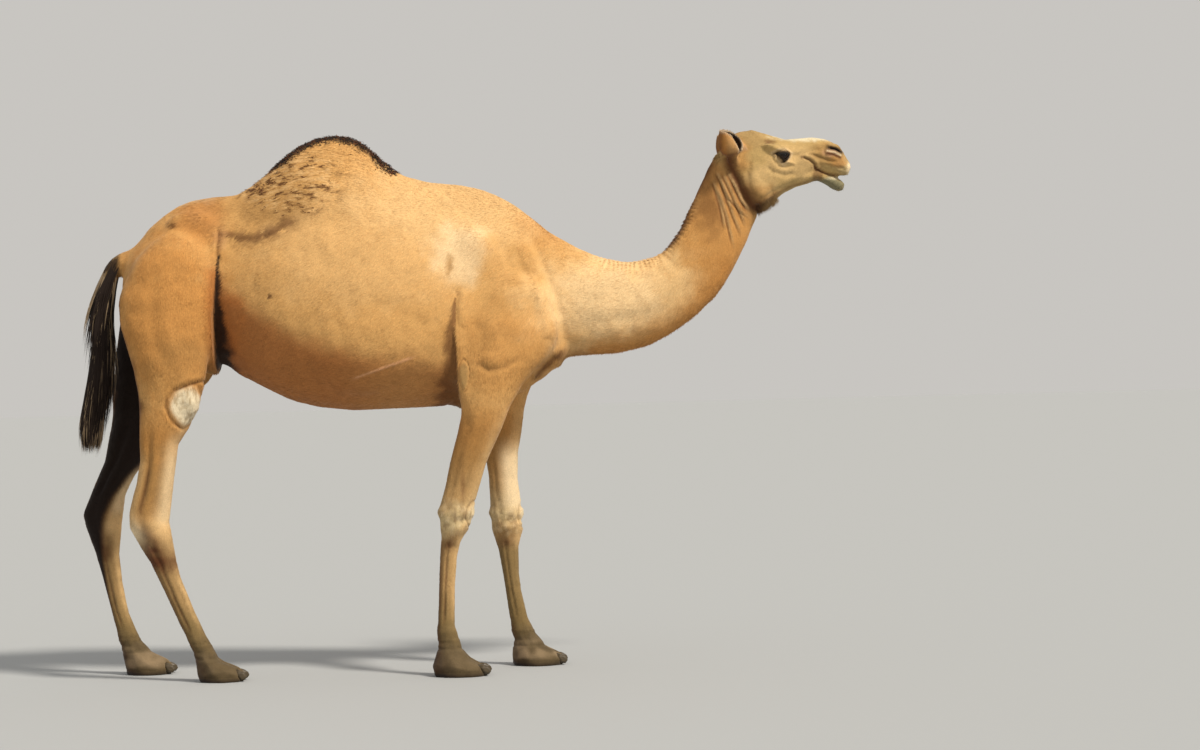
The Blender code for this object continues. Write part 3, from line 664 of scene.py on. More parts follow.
def refineHead(skin):
    # the head's mesh is made twice as fine for lids, nostrils and lips
    aheadOf, above = skinPlan["headDetail"]
    mesh = bmesh.new()
    mesh.from_mesh(skin.data)
    edges = [e for e in mesh.edges if all(v.co.x > aheadOf and v.co.z > above for v in e.verts)]
    bmesh.ops.subdivide_edges(mesh, edges=edges, cuts=1, use_grid_fill=True)
    mesh.to_mesh(skin.data)
    mesh.free()


def thinSkin(skin):
    # even triangles on the broad forms, ever finer ones on legs, feet, head, ears, lids and lips
    skin.data.calc_loop_triangles()
    points = pointsOf(skin)
    x, y, z = points.T
    fine = {"trunk": 0.195, "leg": 0.25, "foot": 0.375, "head": 0.5, "ear": 0.75}
    keep = np.where(z < 1.0, fine["leg"], fine["trunk"])
    keep = np.where((z < 0.15) | (np.abs(z - 0.58) < 0.07), fine["foot"], keep)
    keep = np.where(headShare(points) > 0.5, fine["head"], keep)
    keep = np.where(earZone(points) > 0.3, fine["ear"], keep)
    eyes = [np.linalg.norm(points - mirrored(headPlan["eye"], side), axis=1) < 0.045 for side in sides.values()]
    lips = (x > 1.33) & (z < 1.872) & (z > 1.8)
    nose = (x > 1.385) & (x < 1.46) & (z > 1.895) & (z < 1.955)
    keep = np.where(eyes[0] | eyes[1] | lips | nose, 1.0, keep)
    ratio = skinPlan["triangles"] / len(skin.data.loop_triangles)
    applyModifier(skin, "DECIMATE", ratio=ratio, vertex_group=addGroup(skin, 1 - keep), vertex_group_factor=0.0003,
                  use_collapse_triangulate=True)
    skin.vertex_groups.clear()


def settleFeet(points):
    # each sole comes down flat to the floor
    for at, u, v, z in legFrames(points).values():
        points[at, 2] -= points[at, 2].min() * ramp(z, 0.05, 0.0)
        points[at, 2] = np.where(points[at, 2] < 0.004, 0.35 * points[at, 2], points[at, 2])
    points[:, 2] = np.maximum(points[:, 2], 0.0)


def makeSkin():
    skin = joinFlesh()
    applyModifier(skin, "REMESH", mode="VOXEL", voxel_size=skinPlan["voxel"])
    print("skin blended:", len(skin.data.vertices), "points")
    softenSkin(skin, skinPlan["softenRounds"], softness)
    softenSkin(skin, skinPlan["haunchRounds"], haunchTop)
    setPoints(skin, pointsOf(skin) - normalsOf(skin) * coatDepth(pointsOf(skin))[:, None])
    refineHead(skin)
    points = pointsOf(skin)
    push = sum(press(points) for press in (pressFolds, pressPleats, pressHollows, pressTrunk, pressLegs, pressPads))
    points = points + normalsOf(skin) * push[:, None]
    setPoints(skin, points)
    points = points + normalsOf(skin) * pressHead(points)[:, None]
    points = modelEyes(points)
    settleFeet(points)
    setPoints(skin, points)
    print("skin modelled:", len(skin.data.vertices), "points")
    thinSkin(skin)
    pick(skin)
    bpy.ops.object.shade_smooth()
    print("skin thinned:", len(skin.data.polygons), "triangles")
    return skin


flesh = [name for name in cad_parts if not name.startswith("eye") and "nail" not in name]
skin = makeSkin()
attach(skin, body)
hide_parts(*flesh)


# markings: hair colours by place, the same for skin and tufts

# of these tones, the near-black, the deep russet and the ear's darkest are painted shade, and the pale bone tone is a
# painted highlight
hair = {
    "sand": "#d0a061", "light": "#e6c088", "cream": "#efd8b0", "rust": "#a96c34", "umber": "#583014",
    "amber": "#c08644", "olive": "#7d673f", "foot": "#5a4b32", "dun": "#a67c46", "black": "#231710",
    "ash": "#cbb08c", "pink": "#b98a6c", "lid": "#1a0f0a", "pad": "#ebe0c2", "lip": "#a3916a", "tan": "#987a4e",
    "pit": "#150a05", "russet": "#96490f", "earDeep": "#24120b", "pinkish": "#dcc4a4", "jawGrey": "#77745a",
    "bone": "#dccfae", "scar": "#d9a377", "knee": "#cbb487", "shank": "#b08d5c", "face": "#ba9b63",
    "chin": "#8d8168", "lash": "#0d0806", "tailStreak": "#9a8468",
}
# patches in side view: colour, middle (x, z), radii, how strong, how ragged its edge
patches = [
    ("light", (0.05, 1.78), (0.4, 0.17), 0.55, 0.35),
    ("light", (-0.3, 1.6), (0.4, 0.22), 0.3, 0.4),
    ("light", (0.6, 1.37), (0.34, 0.22), 0.85, 0.35),
    ("cream", (0.0, 1.565), (0.095, 0.125), 0.5, 0.45),
    ("cream", (0.56, 1.38), (0.2, 0.13), 0.3, 0.45),
    ("rust", (-0.965, 1.725), (0.09, 0.085), 0.6, 0.55),
    ("ash", (-1.03, 1.82), (0.15, 0.035), 0.45, 0.45),
    ("dun", (-0.73, 1.83), (0.17, 0.13), 0.42, 0.5),
    ("pink", (-0.885, 1.64), (0.022, 0.036), 0.28, 0.6),
    ("amber", (-1.08, 1.36), (0.22, 0.32), 0.8, 0.45),
    ("dun", (-1.02, 1.17), (0.12, 0.12), 0.5, 0.45),
    ("amber", (0.17, 1.2), (0.2, 0.17), 0.45, 0.45),
    ("amber", (0.33, 1.72), (0.11, 0.12), 0.45, 0.45),
    ("amber", (0.98, 1.6), (0.13, 0.28), 0.6, 0.4),
    # painted shade high on the neck
    ("umber", (0.945, 1.735), (0.05, 0.095), 0.5, 0.8),
    # painted shade along the small crease in the pale patch
    ("dun", (-0.035, 1.52), (0.014, 0.036), 0.75, 0.6),
    ("umber", (-0.694, 1.421), (0.01, 0.008), 0.8, 0.4),
    ("umber", (-1.067, 1.7), (0.016, 0.01), 0.7, 0.6),
]
# patches of the head, in the same way
headPatches = [
    ("tan", (1.085, 1.985), (0.085, 0.05), 0.5, 0.5),
    ("light", (1.25, 1.88), (0.085, 0.055), 0.45, 0.5),
    # painted highlight on the round of the cheek
    ("light", (1.13, 1.8), (0.06, 0.07), 0.4, 0.5),
    # painted highlight along the top of the nose
    ("bone", (1.33, 1.984), (0.13, 0.021), 0.95, 0.4),
    ("dun", (1.39, 1.915), (0.06, 0.045), 0.6, 0.5),
    ("pink", (1.4, 1.918), (0.026, 0.016), 0.65, 0.5),
    ("lip", (1.45, 1.87), (0.04, 0.035), 0.6, 0.4),
    # painted highlight on the tip of the lip
    ("cream", (1.472, 1.852), (0.014, 0.03), 0.85, 0.4),
    ("jawGrey", (1.4, 1.8), (0.07, 0.028), 0.9, 0.4),
    # painted highlight on the lower lip's edge
    ("bone", (1.425, 1.822), (0.045, 0.006), 0.5, 0.4),
    # painted shade in the hollow over the eye
    ("umber", (1.172, 1.963), (0.02, 0.009), 0.65, 0.6),
    ("dun", (1.11, 1.755), (0.075, 0.05), 0.75, 0.5),
    ("amber", (1.04, 1.9), (0.05, 0.08), 0.5, 0.5),
    # painted shade in the corner of the mouth
    ("umber", (1.35, 1.836), (0.02, 0.024), 0.6, 0.5),
    ("amber", (1.428, 1.884), (0.03, 0.022), 0.6, 0.5),
]
# dark or pale lines: colour, line, half width at its start and end in millimetres, how strong, how ragged
streaks = {
    "crest": ("black", [-690, 1921, -639, 1959, -601, 1983, -547, 2011, -460, 2025, -385, 2002, -333, 1967, -289, 1917,
                        -252, 1887], 14, 13, 0.92, 0.3),
    "smudge": ("umber", [-880, 1668, -822, 1646, -760, 1640, -700, 1655, -640, 1686, -590, 1705], 13, 26, 0.78, 1.1),
    "smudgeHigh": ("dun", [-800, 1700, -720, 1725, -640, 1735, -560, 1770], 30, 30, 0.55, 0.9),
    # darker hair along the nape, with painted shade behind the ear
    "nape": ("umber", [700, 1545, 783, 1583, 810, 1614, 846, 1679, 870, 1764, 906, 1829, 945, 1888, 965, 1925],
             6, 26, 0.9, 0.2),
    # darker hair and painted shade along the underside of the neck
    "under": ("umber", [375, 1170, 440, 1160, 530, 1165, 664, 1180, 817, 1240, 920, 1325, 995, 1425],
              36, 18, 0.92, 0.3),
    "underWide": ("amber", [430, 1175, 530, 1185, 664, 1205, 800, 1265, 900, 1350, 985, 1450, 1040, 1560],
                  55, 70, 0.95, 0.3),
    # painted shade behind the jaw and down the throat
    "throat": ("umber", [1005, 1925, 1024, 1865, 1050, 1800, 1090, 1735, 1135, 1700], 26, 30, 0.95, 0.3),
    # the chest, stifle, hip and triceps lines are painted shade in the skin's folds; the scar is a pale line of its own
    "chest": ("umber", [380, 1200, 354, 1180, 310, 1140, 262, 1095], 12, 12, 0.75, 0.3),
    "scar": ("scar", folds["scar"][0], 3.5, 4.5, 0.8, 0.2),
    "stifleTop": ("umber", [-1062, 1078, -1010, 1100, -945, 1124], 4, 6, 0.7, 0.2),
    "stifleRear": ("umber", folds["stifleRear"][0], 4, 4, 0.45, 0.2),
    "hipFold": ("umber", [-893, 1700, -898, 1640, -903, 1570], 4, 6, 0.45, 0.4),
    "triceps": ("umber", [45, 1165, 100, 1130, 160, 1140, 215, 1175], 10, 6, 0.3, 0.3),
}
# lines of the head: colour, line, half width in millimetres, how strong
headStreaks = [
    # the umber lines and the black are painted shade: in the mouth's corner and slit, under the nostril's rim, in the
    # nostril, in the muzzle's crease and under the jaw
    ("umber", [1290, 1903, 1318, 1892, 1337, 1876, 1342, 1855], 5.5, 0.7),
    ("umber", [1340, 1862, 1365, 1846, 1392, 1836, 1425, 1830], 5.0, 0.85),
    ("umber", [1387, 1915, 1410, 1909, 1433, 1899], 5.2, 0.95),
    ("cream", [1386, 1925, 1412, 1919, 1436, 1907], 3.0, 0.95),
    ("black", headPlan["nostril"], 8.4, 1.0),
    ("umber", [1320, 1915, 1352, 1902, 1390, 1888], 4.5, 0.35),
    ("umber", [1120, 1727, 1180, 1765, 1250, 1795, 1330, 1815], 7.0, 0.45),
]
# painted shade in the deep of a hollow, dark right from the edge: colour, edge line, the side it lies on,
# how far it reaches at either end of the line in millimetres, how strong
paintedShades = {
    "flank": ("pit", [-899, 1585, -905, 1515, -922, 1350, -928, 1120], 1, 10, 105, 0.95),
    "armpit": ("umber", [-12, 1400, -16, 1250, -14, 1150, -8, 985], -1, 12, 125, 0.72),
}
# leg colours from the ground up
legColours = {
    "fore": [(0.0, "foot"), (0.1, "foot"), (0.2, "olive"), (0.34, "shank"), (0.5, "shank"), (0.58, "knee"),
             (0.68, "shank"), (0.8, "dun"), (1.02, "amber")],
    "hind": [(0.0, "foot"), (0.1, "foot"), (0.2, "olive"), (0.32, "tan"), (0.5, "tan"), (0.62, "dun"),
             (0.78, "dun"), (1.02, "amber")],
}
padCover = {"stifle": 0.8, "elbow": 0.6, "knee": 0.35, "chest": 0.3}  # how strong each pad's colour is


def mixTo(colours, name, share):
    colours += (fromHex(hair[name]) - colours) * np.clip(share, 0, 1)[:, None]


def blob(points, middle, radii, ragged, seed):
    flat = (points[:, [0, 2]] - np.array(middle)) / np.array(radii)
    size = min(0.045, min(radii) * 0.6)
    edge = np.hypot(*flat.T) + ragged * (0.6 * softNoise(points, size, seed) + 0.3 * softNoise(points, 0.014, seed + 1))
    return ramp(edge, 1.0 + ragged, 1.0 - ragged)


def paintStreaks(colours, points):
    for count, (name, line, first, last, strength, ragged) in enumerate(streaks.values()):
        gap, signed, share = lineDistance(points, line, 0.12)
        width = mixed(first, last, share) / 1000
        rough = 1 + ragged * softNoise(points, 0.016, 80 + count)
        fade = band(share, -0.001, 0.1, 0.9, 1.001)
        fade = np.where((share <= 0) | (share >= 1), 0.4 * hill(gap, width), np.maximum(fade, 0.4))
        mixTo(colours, name, strength * fade * hill(gap, width * rough))
    # painted shade filling the hollow ahead of the thigh and behind the arm
    for name, line, way, first, last, strength in paintedShades.values():
        gap, signed, share = lineDistance(points, line, 0.75)
        ahead = signed * way
        reach = mixed(first, last, share) / 1000
        inside = ramp(ahead, -0.0015, 0.0035) * ramp(ahead / reach + 0.25 * softNoise(points, 0.03, 95), 1.0, 0.45)
        mixTo(colours, name, strength * inside * ((share > 0) & (share < 1) & (gap < 1)))
    # painted shade in each pleat's groove and painted highlight on the ridge beside it
    for line in neckPleats["lines"]:
        gap, signed, share = lineDistance(points, line, 0.05)
        fade = band(share, 0, 0.1, 0.7, 1)
        mixTo(colours, "umber", 0.65 * fade * hill(gap, 0.0042))
        mixTo(colours, "light", 0.45 * fade * hill(signed - 0.008, 0.004))


def paintLegs(colours, points):
    for name, (at, u, v, z) in legFrames(points).items():
        kind, up = name[:4], z - legJoints[name][0]
        spots = points[at]
        levels, names = zip(*legColours[kind])
        tones = np.array([fromHex(hair[tone]) for tone in names])
        blur = 0.025 * softNoise(spots, 0.05, 31) + 0.015 * softNoise(spots, 0.012, 32)
        layer = np.column_stack([np.interp(z + blur, levels, tone) for tone in tones.T])
        rough = 1 + 0.5 * softNoise(spots, 0.018, 34)
        wander = 0.1 * softNoise(spots, 0.06, 9)

        def paint(tone, share):
            mixTo(layer, tone, share)

        # painted shade behind and in a groove down the cannon, painted highlight in front
        paint("umber", 0.6 * hill(u + 1.05, 0.4) * ramp(up, -0.02, -0.12) * rough)
        paint("umber", 0.45 * hill(u + 0.2 + wander, 0.13) * ramp(up, -0.1, -0.16) * ramp(z, 0.16, 0.22) * rough)
        paint("light", 0.4 * hill(u - 0.85, 0.35) * ramp(z, 0.15, 0.3) * rough)
        if kind == "hind":
            # painted shadow below the hock and in the groove beside its tendon, painted highlight on the hock's front
            # and rear
            paint("umber", 0.85 * hill(u + 0.25, 0.75) * band(up, -0.19, -0.13, -0.03, 0.015) * rough)
            paint("umber", 0.65 * hill(u + 0.42, 0.13) * band(up, 0.03, 0.07, 0.18, 0.25))
            paint("light", 0.45 * hill(u + 0.85, 0.25) * band(up, -0.02, 0.04, 0.2, 0.3))
            paint("umber", 0.75 * hill(z - 0.45, 0.04) * ramp(v, -0.4, 0.3) * rough)
            paint("light", 0.75 * hill(u - 0.6, 0.6) * hill(z - 0.58, 0.045))
            paint("cream", 0.85 * hill(u + 0.85, 0.5) * hill(z - 0.56, 0.045))
            paint("cream", 0.5 * hill(u - 0.8, 0.4) * band(up, -0.02, 0.04, 0.2, 0.38))
        if name == "hindLeft":
            # the painted shade of the thigh's inner side runs on down the leg
            behind = ramp(u - 3.5 * (z - 0.5), 0.1, -0.45) * ramp(z, 0.1, 0.16)
            behind = np.maximum(behind, ramp(z, 0.72, 0.86))
            inward = v + 0.15 * softNoise(spots, 0.04, 99)
            paint("umber", 0.85 * behind * ramp(inward, 0.3, -0.1))
            paint("pit", 0.975 * behind * ramp(inward, 0.0, -0.4))
        if name == "hindRight":
            # painted shade on the upper inner side
            paint("umber", 0.75 * ramp(v, -0.15, -0.6) * ramp(z, 0.62, 0.86))
        if kind == "fore":
            # a dark patch under the knee and mottling over it
            paint("umber", 0.85 * hill(np.hypot((u + 0.15) / 0.6, (up + 0.085) / 0.026), 0.9))
            paint("umber", 0.42 * ramp(softNoise(spots, 0.013, 35), 0.05, 0.45) * hill(up - 0.005, 0.065))
            paint("cream", 0.3 * ramp(softNoise(spots, 0.01, 36), 0.1, 0.5) * hill(up - 0.01, 0.06))
        if name == "foreLeft":
            paint("olive", 0.85 * ramp(up, -0.07, -0.12) * ramp(z, 0.14, 0.2))
            # painted highlight down the front of the forearm
            paint("cream", 0.75 * ramp(u, -0.5, 0.4) * band(up, 0.02, 0.08, 0.22, 0.34))
        if kind == "fore":
            paint("umber", 0.5 * hill(u - 0.05 + 4.0 * (up - 0.13), 0.12) * hill(up - 0.13, 0.055) * ramp(v, 0.2, 0.6))
        # dark heel and sole, a little dust on the foot
        paint("black", 0.45 * ramp(z, 0.13, 0.06) * ramp(u, 0.1, -0.7) + 0.55 * ramp(z, 0.02, 0.008))
        pale = 0.3 if name.endswith("Left") else 0.06
        paint("ash", pale * band(z, 0.02, 0.04, 0.05, 0.13) * ramp(softNoise(spots, 0.03, 37), -0.7, 0.5))
        colours[at] += (layer - colours[at]) * ramp(z, 1.045, 0.9)[:, None]


def paintHead(colours, points):
    x, y, z = points.T
    layer = np.tile(fromHex(hair["face"]), (len(points), 1))
    for count, (name, middle, radii, strength, ragged) in enumerate(headPatches):
        mixTo(layer, name, strength * blob(points, middle, radii, ragged, 60 + count))
    for name, line, width, strength in headStreaks:
        gap, signed, share = lineDistance(points, line, 0.05)
        mixTo(layer, name, strength * hill(gap, width / 1000) * ramp(np.abs(y), 0.008, 0.016))
    # round each eye: a pale ring, then the lids' dark skin, spread wider by painted shade from the lashes
    for out, u, v, axis, near in eyesOf(points):
        gap = lidGap(u, v)
        mixTo(layer, "cream", near * 0.35 * hill(gap - 0.016, 0.006))
        mixTo(layer, "umber", near * 0.5 * hill(gap - 0.011, 0.005))
        mixTo(layer, "lid", near * 0.97 * ramp(gap, 0.011, 0.007))
    colours += (layer - colours) * headShare(points)[:, None]
    # the ears: golden backs with a brown rear edge, pale rims, painted shade in the dark hollows
    ear = earZone(points)
    away, share, height, up = earPlace(points)
    within = ramp(away - earRound(up), 0.0008, -0.0016) * ramp(np.abs(share), 1.06, 0.96)
    mixTo(colours, "amber", ear)
    mixTo(colours, "light", 0.35 * ear * ramp(x, 0.99, 1.02))
    mixTo(colours, "umber", ear * (1 - within) * 0.6 * ramp(x, 1.0, 0.978))
    mixTo(colours, "umber", ear * (1 - within) * 0.5 * ramp(height, 0.04, 0.018))
    mixTo(colours, "earDeep", ear * within * 0.96)
    rim = np.maximum(hill(np.abs(share) - 1.0, 0.06), hill(up - earTop(share), 0.05) * (np.abs(share) < 1))
    mixTo(colours, "pinkish", ear * 0.75 * rim)


def humpZone(points):
    # the rear of the hump, where the dark flecks are
    x, y, z = points.T
    return blob(points, (-0.67, 1.855), (0.24, 0.125), 0.35, 70) * ramp(z + 0.55 * (x + 0.7), 1.72, 1.77)


def humpCurls(points):
    # short level flecks, about 2 cm long and 6 mm high
    return softNoise(points * np.array([0.3, 0.4, 1.0]), 0.0062, 71) + 0.35 * softNoise(points, 0.03, 72)


bellyShadeLine = [-950, 1600, -899, 1553, -872, 1483, -806, 1448, -746, 1377, -644, 1319, -550, 1266, -350, 1215, -50, 1180]


def bellyShade(points):
    # painted shade: the belly turns darker and redder below a line that climbs to the flank
    x, y, z = points.T
    level = np.interp(x, *inSideView(bellyShadeLine).T) + 0.02 * softNoise(points, 0.05, 96)
    return ramp(z, level + 0.035, level - 0.075) * band(x, -0.96, -0.9, -0.08, 0.02) * ramp(z, 0.9, 0.94)


def coatColour(points):
    x, y, z = points.T
    colours = np.tile(fromHex(hair["sand"]), (len(points), 1))
    for count, (name, middle, radii, strength, ragged) in enumerate(patches):
        mixTo(colours, name, strength * blob(points, middle, radii, ragged, 20 + 2 * count))
    fleck, curls = humpZone(points), humpCurls(points)
    mixTo(colours, "umber", 0.85 * fleck * ramp(curls, 0.25, 0.45))
    mixTo(colours, "light", 0.45 * fleck * ramp(curls, -0.1, -0.4))
    # painted shade on the lower belly
    mixTo(colours, "russet", (0.66 - 0.22 * ramp(x, -0.5, -0.2)) * bellyShade(points))
    # painted shade: the inner sides of the thighs are dark
    edge = np.interp(z, [1.05, 1.25, 1.42, 1.5], [0.185, 0.175, 0.14, 0.08]) + 0.018 * softNoise(points, 0.05, 98)
    behind = ramp(x, -1.05, -1.15) * band(z, 0.84, 0.9, 1.42, 1.52)
    mixTo(colours, "umber", 0.9 * behind * ramp(np.abs(y), edge + 0.045, edge - 0.005))
    mixTo(colours, "pit", 0.96 * behind * ramp(np.abs(y), edge, edge - 0.05))
    paintLegs(colours, points)
    wrinkles = ramp(softNoise(points * np.array([1.0, 1.0, 0.22]), 0.0075, 8), 0.15, 0.6)
    for label, (centre, radii) in pads.items():
        kind = label.removesuffix("Right").removesuffix("Left")
        away = padShare(points, centre, radii)
        mixTo(colours, "olive" if kind == "elbow" else "pad", padCover[kind] * ramp(away, 1.1, 0.7))
        mixTo(colours, "tan", 0.6 * wrinkles * ramp(away, 1.1, 0.8))
        # painted shade in the groove round each pad
        mixTo(colours, "umber", 0.3 * hill(away - 1.12, 0.08))
    paintHead(colours, points)
    paintStreaks(colours, points)
    tail = ramp(x, -1.275, -1.3) * ramp(np.abs(y), 0.085, 0.07) * ramp(z, 0.8, 0.83)
    tail *= ramp(x + 0.55 * (1.58 - z), -1.18, -1.3)
    streaky = softNoise(points * np.array([1.0, 1.0, 0.12]), 0.01, 44)
    mixTo(colours, "black", 0.94 * tail)
    mixTo(colours, "tan", 0.5 * tail * ramp(streaky, 0.35, 0.6))
    # mottling at three real sizes: 6 cm, 2 cm and 7 mm
    mottle = 1 + sum(share * softNoise(points, size, seed)
                     for share, size, seed in ((0.05, 0.06, 41), (0.04, 0.02, 42), (0.05, 0.007, 43)))
    return np.clip(colours * mottle[:, None], 0.001, 0.95)


def makeWool():
    # short camel wool: matt, with a faint sheen at the edges and fine streaks finer than a tuft
    material = newMaterial("camelWool")
    place = addNode(material, "ShaderNodeTexCoord")
    tone = addNode(material, "ShaderNodeAttribute", {"attribute_name": "coat"})
    grain = addNode(material, "ShaderNodeTexNoise", {"Scale": 260.0, "Detail": 3.0, "Roughness": 0.6},
                    {"Vector": place.outputs["Object"]})
    spread = addNode(material, "ShaderNodeMapRange", {"From Min": 0.3, "From Max": 0.7, "To Min": 0.86, "To Max": 1.12},
                     {"Value": grain.outputs["Fac"]})
    shaded = addNode(material, "ShaderNodeVectorMath", {"operation": "SCALE"},
                     {0: tone.outputs["Color"], "Scale": spread.outputs["Result"]})
    relief = addNode(material, "ShaderNodeBump", {"Strength": 0.35, "Distance": 0.0012},
                     {"Height": grain.outputs["Fac"]})
    addNode(material, "shader",
            {"Roughness": 0.82, "Specular IOR Level": 0.25, "Sheen Weight": 0.12, "Sheen Roughness": 0.45},
            {"Base Color": shaded.outputs["Vector"], "Normal": relief.outputs["Normal"]})
    return material


wool = makeWool()
setColours(skin, "coat", coatColour(pointsOf(skin)))
skin.data.materials.append(wool)
print("skin painted")


# the coat: thin tufts that lie along the body, rooted all over the skin

coatPlan = {
    "density": 46000,  # tufts to a square metre of trunk
    "most": 33000,  # in one piece
    "length": 0.017,
    "width": 0.0034,
    "thickness": 0.0006,
    "rootDepth": 0.0006,  # how far a root goes into the skin
    "lift": 0.055,  # how far a tip stands off, as a share of the length
    "variety": 0.07,  # how much one tuft's tone differs from the next
    "patch": 0.003,  # size of each tuft's place on the bake map
}
neckMiddle = [270, 1435, 466, 1379, 586, 1360, 692, 1375, 794, 1422, 876, 1500, 935, 1592, 1018, 1763]


def noises(points, size, seed):
    return np.column_stack([softNoise(points, size, seed + k) for k in range(3)])


def hairFlow(points):
    # the way the hair lies: back and down the trunk, along the neck, down the legs
    x, y, z = points.T
    flow = np.tile([-0.8, 0.0, -0.6], (len(points), 1))
    flow += (ramp(z, 1.6, 1.85) * ramp(x, 0.3, 0.1))[:, None] * np.array([-0.3, 0.0, 0.5])
    flow += (ramp(z, 1.2, 1.02) * band(x, -1.0, -0.8, -0.1, 0.1))[:, None] * np.array([-0.4, 0.0, 0.5])

    def turn(share, way):
        flow[:] += share[:, None] * (np.array(way) - flow)

    turn(ramp(x, -0.9, -1.0) * ramp(z, 1.75, 1.6), (-0.15, 0.0, -1.0))  # haunch
    turn(band(x, -0.05, 0.03, 0.36, 0.42) * ramp(z, 1.45, 1.2), (-0.25, 0.0, -1.0))  # arm
    middle = inSideView(neckMiddle)
    ways = np.diff(middle, axis=0)
    angles = np.unwrap(np.arctan2(-ways[:, 1], -ways[:, 0]))
    angle = np.interp(x, (middle[1:, 0] + middle[:-1, 0]) / 2, angles)
    head = headShare(points)
    along = np.column_stack([np.cos(angle), np.zeros(len(points)), np.sin(angle) - 0.35])
    turn(ramp(x, 0.33, 0.45) * (1 - head), along)
    turn(ramp(z, 1.1, 0.95) * ramp(np.abs(y), 0.05, 0.08), (-0.1, 0.0, -1.0))  # leg
    turn(ramp(z, 0.12, 0.05), (0.75, 0.0, -0.65))  # foot
    face = np.tile([-0.92, 0.0, -0.3], (len(points), 1))
    face += (ramp(x, 1.36, 1.42) * ramp(z, 1.94, 1.9))[:, None] * np.array([0.7, 0.0, -0.7])
    face += (ramp(z, 1.8, 1.72) * ramp(x, 1.2, 1.1))[:, None] * np.array([0.3, 0.0, -0.5])
    turn(head, face)
    turn(earZone(points), earRise(points))
    turn(ramp(x, -1.26, -1.3) * ramp(np.abs(y), 0.075, 0.05), (-0.25, 0.0, -1.0))  # tail
    return flow + 0.28 * noises(points, 0.09, 51) + 0.16 * noises(points, 0.015, 54)


def earRise(points):
    # from root to tip of the ear on each point's own side
    one = np.ones(len(points))
    return np.array(earPlan["up"]) * np.column_stack([one, np.sign(points[:, 1]), one])


def bareShare(points):
    # where no hair grows: pads, lids, nostrils, soles
    bare = ramp(points[:, 2], 0.02, 0.012)
    for centre, radii in pads.values():
        away = np.linalg.norm((points - np.array(centre)) / np.array(radii), axis=1)
        bare = np.maximum(bare, 0.85 * ramp(away, 1.05, 0.9))
    for out, u, v, axis, near in eyesOf(points):
        bare = np.maximum(bare, near * ramp(lidGap(u, v), 0.0065, 0.0045))
    gap, signed, share = lineDistance(points, headPlan["nostril"], 0.05)
    away, share, height, up = earPlace(points)
    bare = np.maximum(bare, 0.85 * earZone(points) * ramp(away - earRound(up), 0.0, -0.002))
    return np.maximum(bare, ramp(gap, 0.01, 0.007))


def tuftSize(points):
    # smallest on the face and feet, longest on the hump and flanks
    x, y, z = points.T
    head = headShare(points)
    size = 1 + 0.35 * ramp(z, 1.78, 1.95) * (x < 0.3)
    size *= 1 - 0.4 * ramp(z, 1.05, 0.85) - 0.12 * ramp(z, 0.5, 0.2)
    size *= 1 - 0.3 * ramp(z, 0.1, 0.05)
    size *= 1 - 0.42 * head - 0.22 * head * ramp(x, 1.12, 1.22) - 0.08 * ramp(x, 1.3, 1.4)
    size *= 1 - 0.3 * ramp(x, 0.84, 0.95) * (1 - head)
    size *= 1 - 0.35 * ramp(np.hypot((x - 1.02) / 0.11, (z - 1.72) / 0.17), 1.1, 0.7) * (1 - head)
    return size * (1 - 0.3 * earZone(points))


# each coat piece and the part of the skin it covers, by the middle of each face, in the order they take it
headStart, neckStart, rumpStart = 1.905, 0.36, -0.9
regions = {
    "coatHead": lambda x, y, z: x * 0.8 + z * 0.6 > headStart,
    "coatNeck": lambda x, y, z: x > neckStart,
    "coatForelegs": lambda x, y, z: (z < 1.02) & (x > -0.5) & (np.abs(y) > 0.075),
    "coatHindlegs": lambda x, y, z: (z < 1.02) & (x <= -0.5) & (np.abs(y) > 0.075),
    "coatBack": lambda x, y, z: z > 1.735,
    "coatRumpRight": lambda x, y, z: (x < rumpStart) & (y < 0),
    "coatRumpLeft": lambda x, y, z: (x < rumpStart) & (y >= 0),
    "coatSideRight": lambda x, y, z: y < 0,
    "coatSideLeft": lambda x, y, z: y >= 0,
}


def splitFaces(points):
    # the faces that each coat piece grows from
    triangles = readAll(skin.data.polygons, "vertices", 3, np.int32)
    x, y, z = points[triangles].mean(axis=1).T
    free = np.ones(len(triangles), bool)
    shares = {}
    for name, covers in regions.items():
        mine = free & covers(x, y, z)
        shares[name] = triangles[mine]
        free &= ~mine
    return shares


def unwrapped(points, triangles):
    # the region's own faces laid out flat: each tuft takes its place on the bake map from them
    used, renamed = np.unique(triangles, return_inverse=True)
    mesh = bpy.data.meshes.new("flat")
    mesh.from_pydata(points[used].tolist(), [], renamed.reshape(-1, 3).tolist())
    flat = makeObject("flat", mesh)
    editWhole(flat, bpy.ops.uv.smart_project, angle_limit=math.radians(66), island_margin=0.004)
    corners = readAll(mesh.uv_layers.active.data, "uv", 2)
    bpy.data.objects.remove(flat)
    return corners.reshape(-1, 3, 2)


def scatter(points, normals, triangles, flat, count, weight, seed):
    # roots spread over the triangles by area and weight: place, normal and place on the bake map
    rng = np.random.default_rng(seed)
    corners = points[triangles]
    chanceOf = areaOf(corners) * weight
    steps = np.cumsum(chanceOf) / chanceOf.sum()
    draws = (np.arange(count) + rng.random(count)) / count
    chosen = np.minimum(np.searchsorted(steps, draws), len(triangles) - 1)
    first, second = rng.random(count), rng.random(count)
    folded = first + second > 1
    first, second = np.where(folded, 1 - first, first), np.where(folded, 1 - second, second)
    shares = np.column_stack([1 - first - second, first, second])[:, :, None]
    roots = (corners[chosen] * shares).sum(axis=1)
    outward = unit((normals[triangles[chosen]] * shares).sum(axis=1))
    return roots, outward, (flat[chosen] * shares).sum(axis=1)


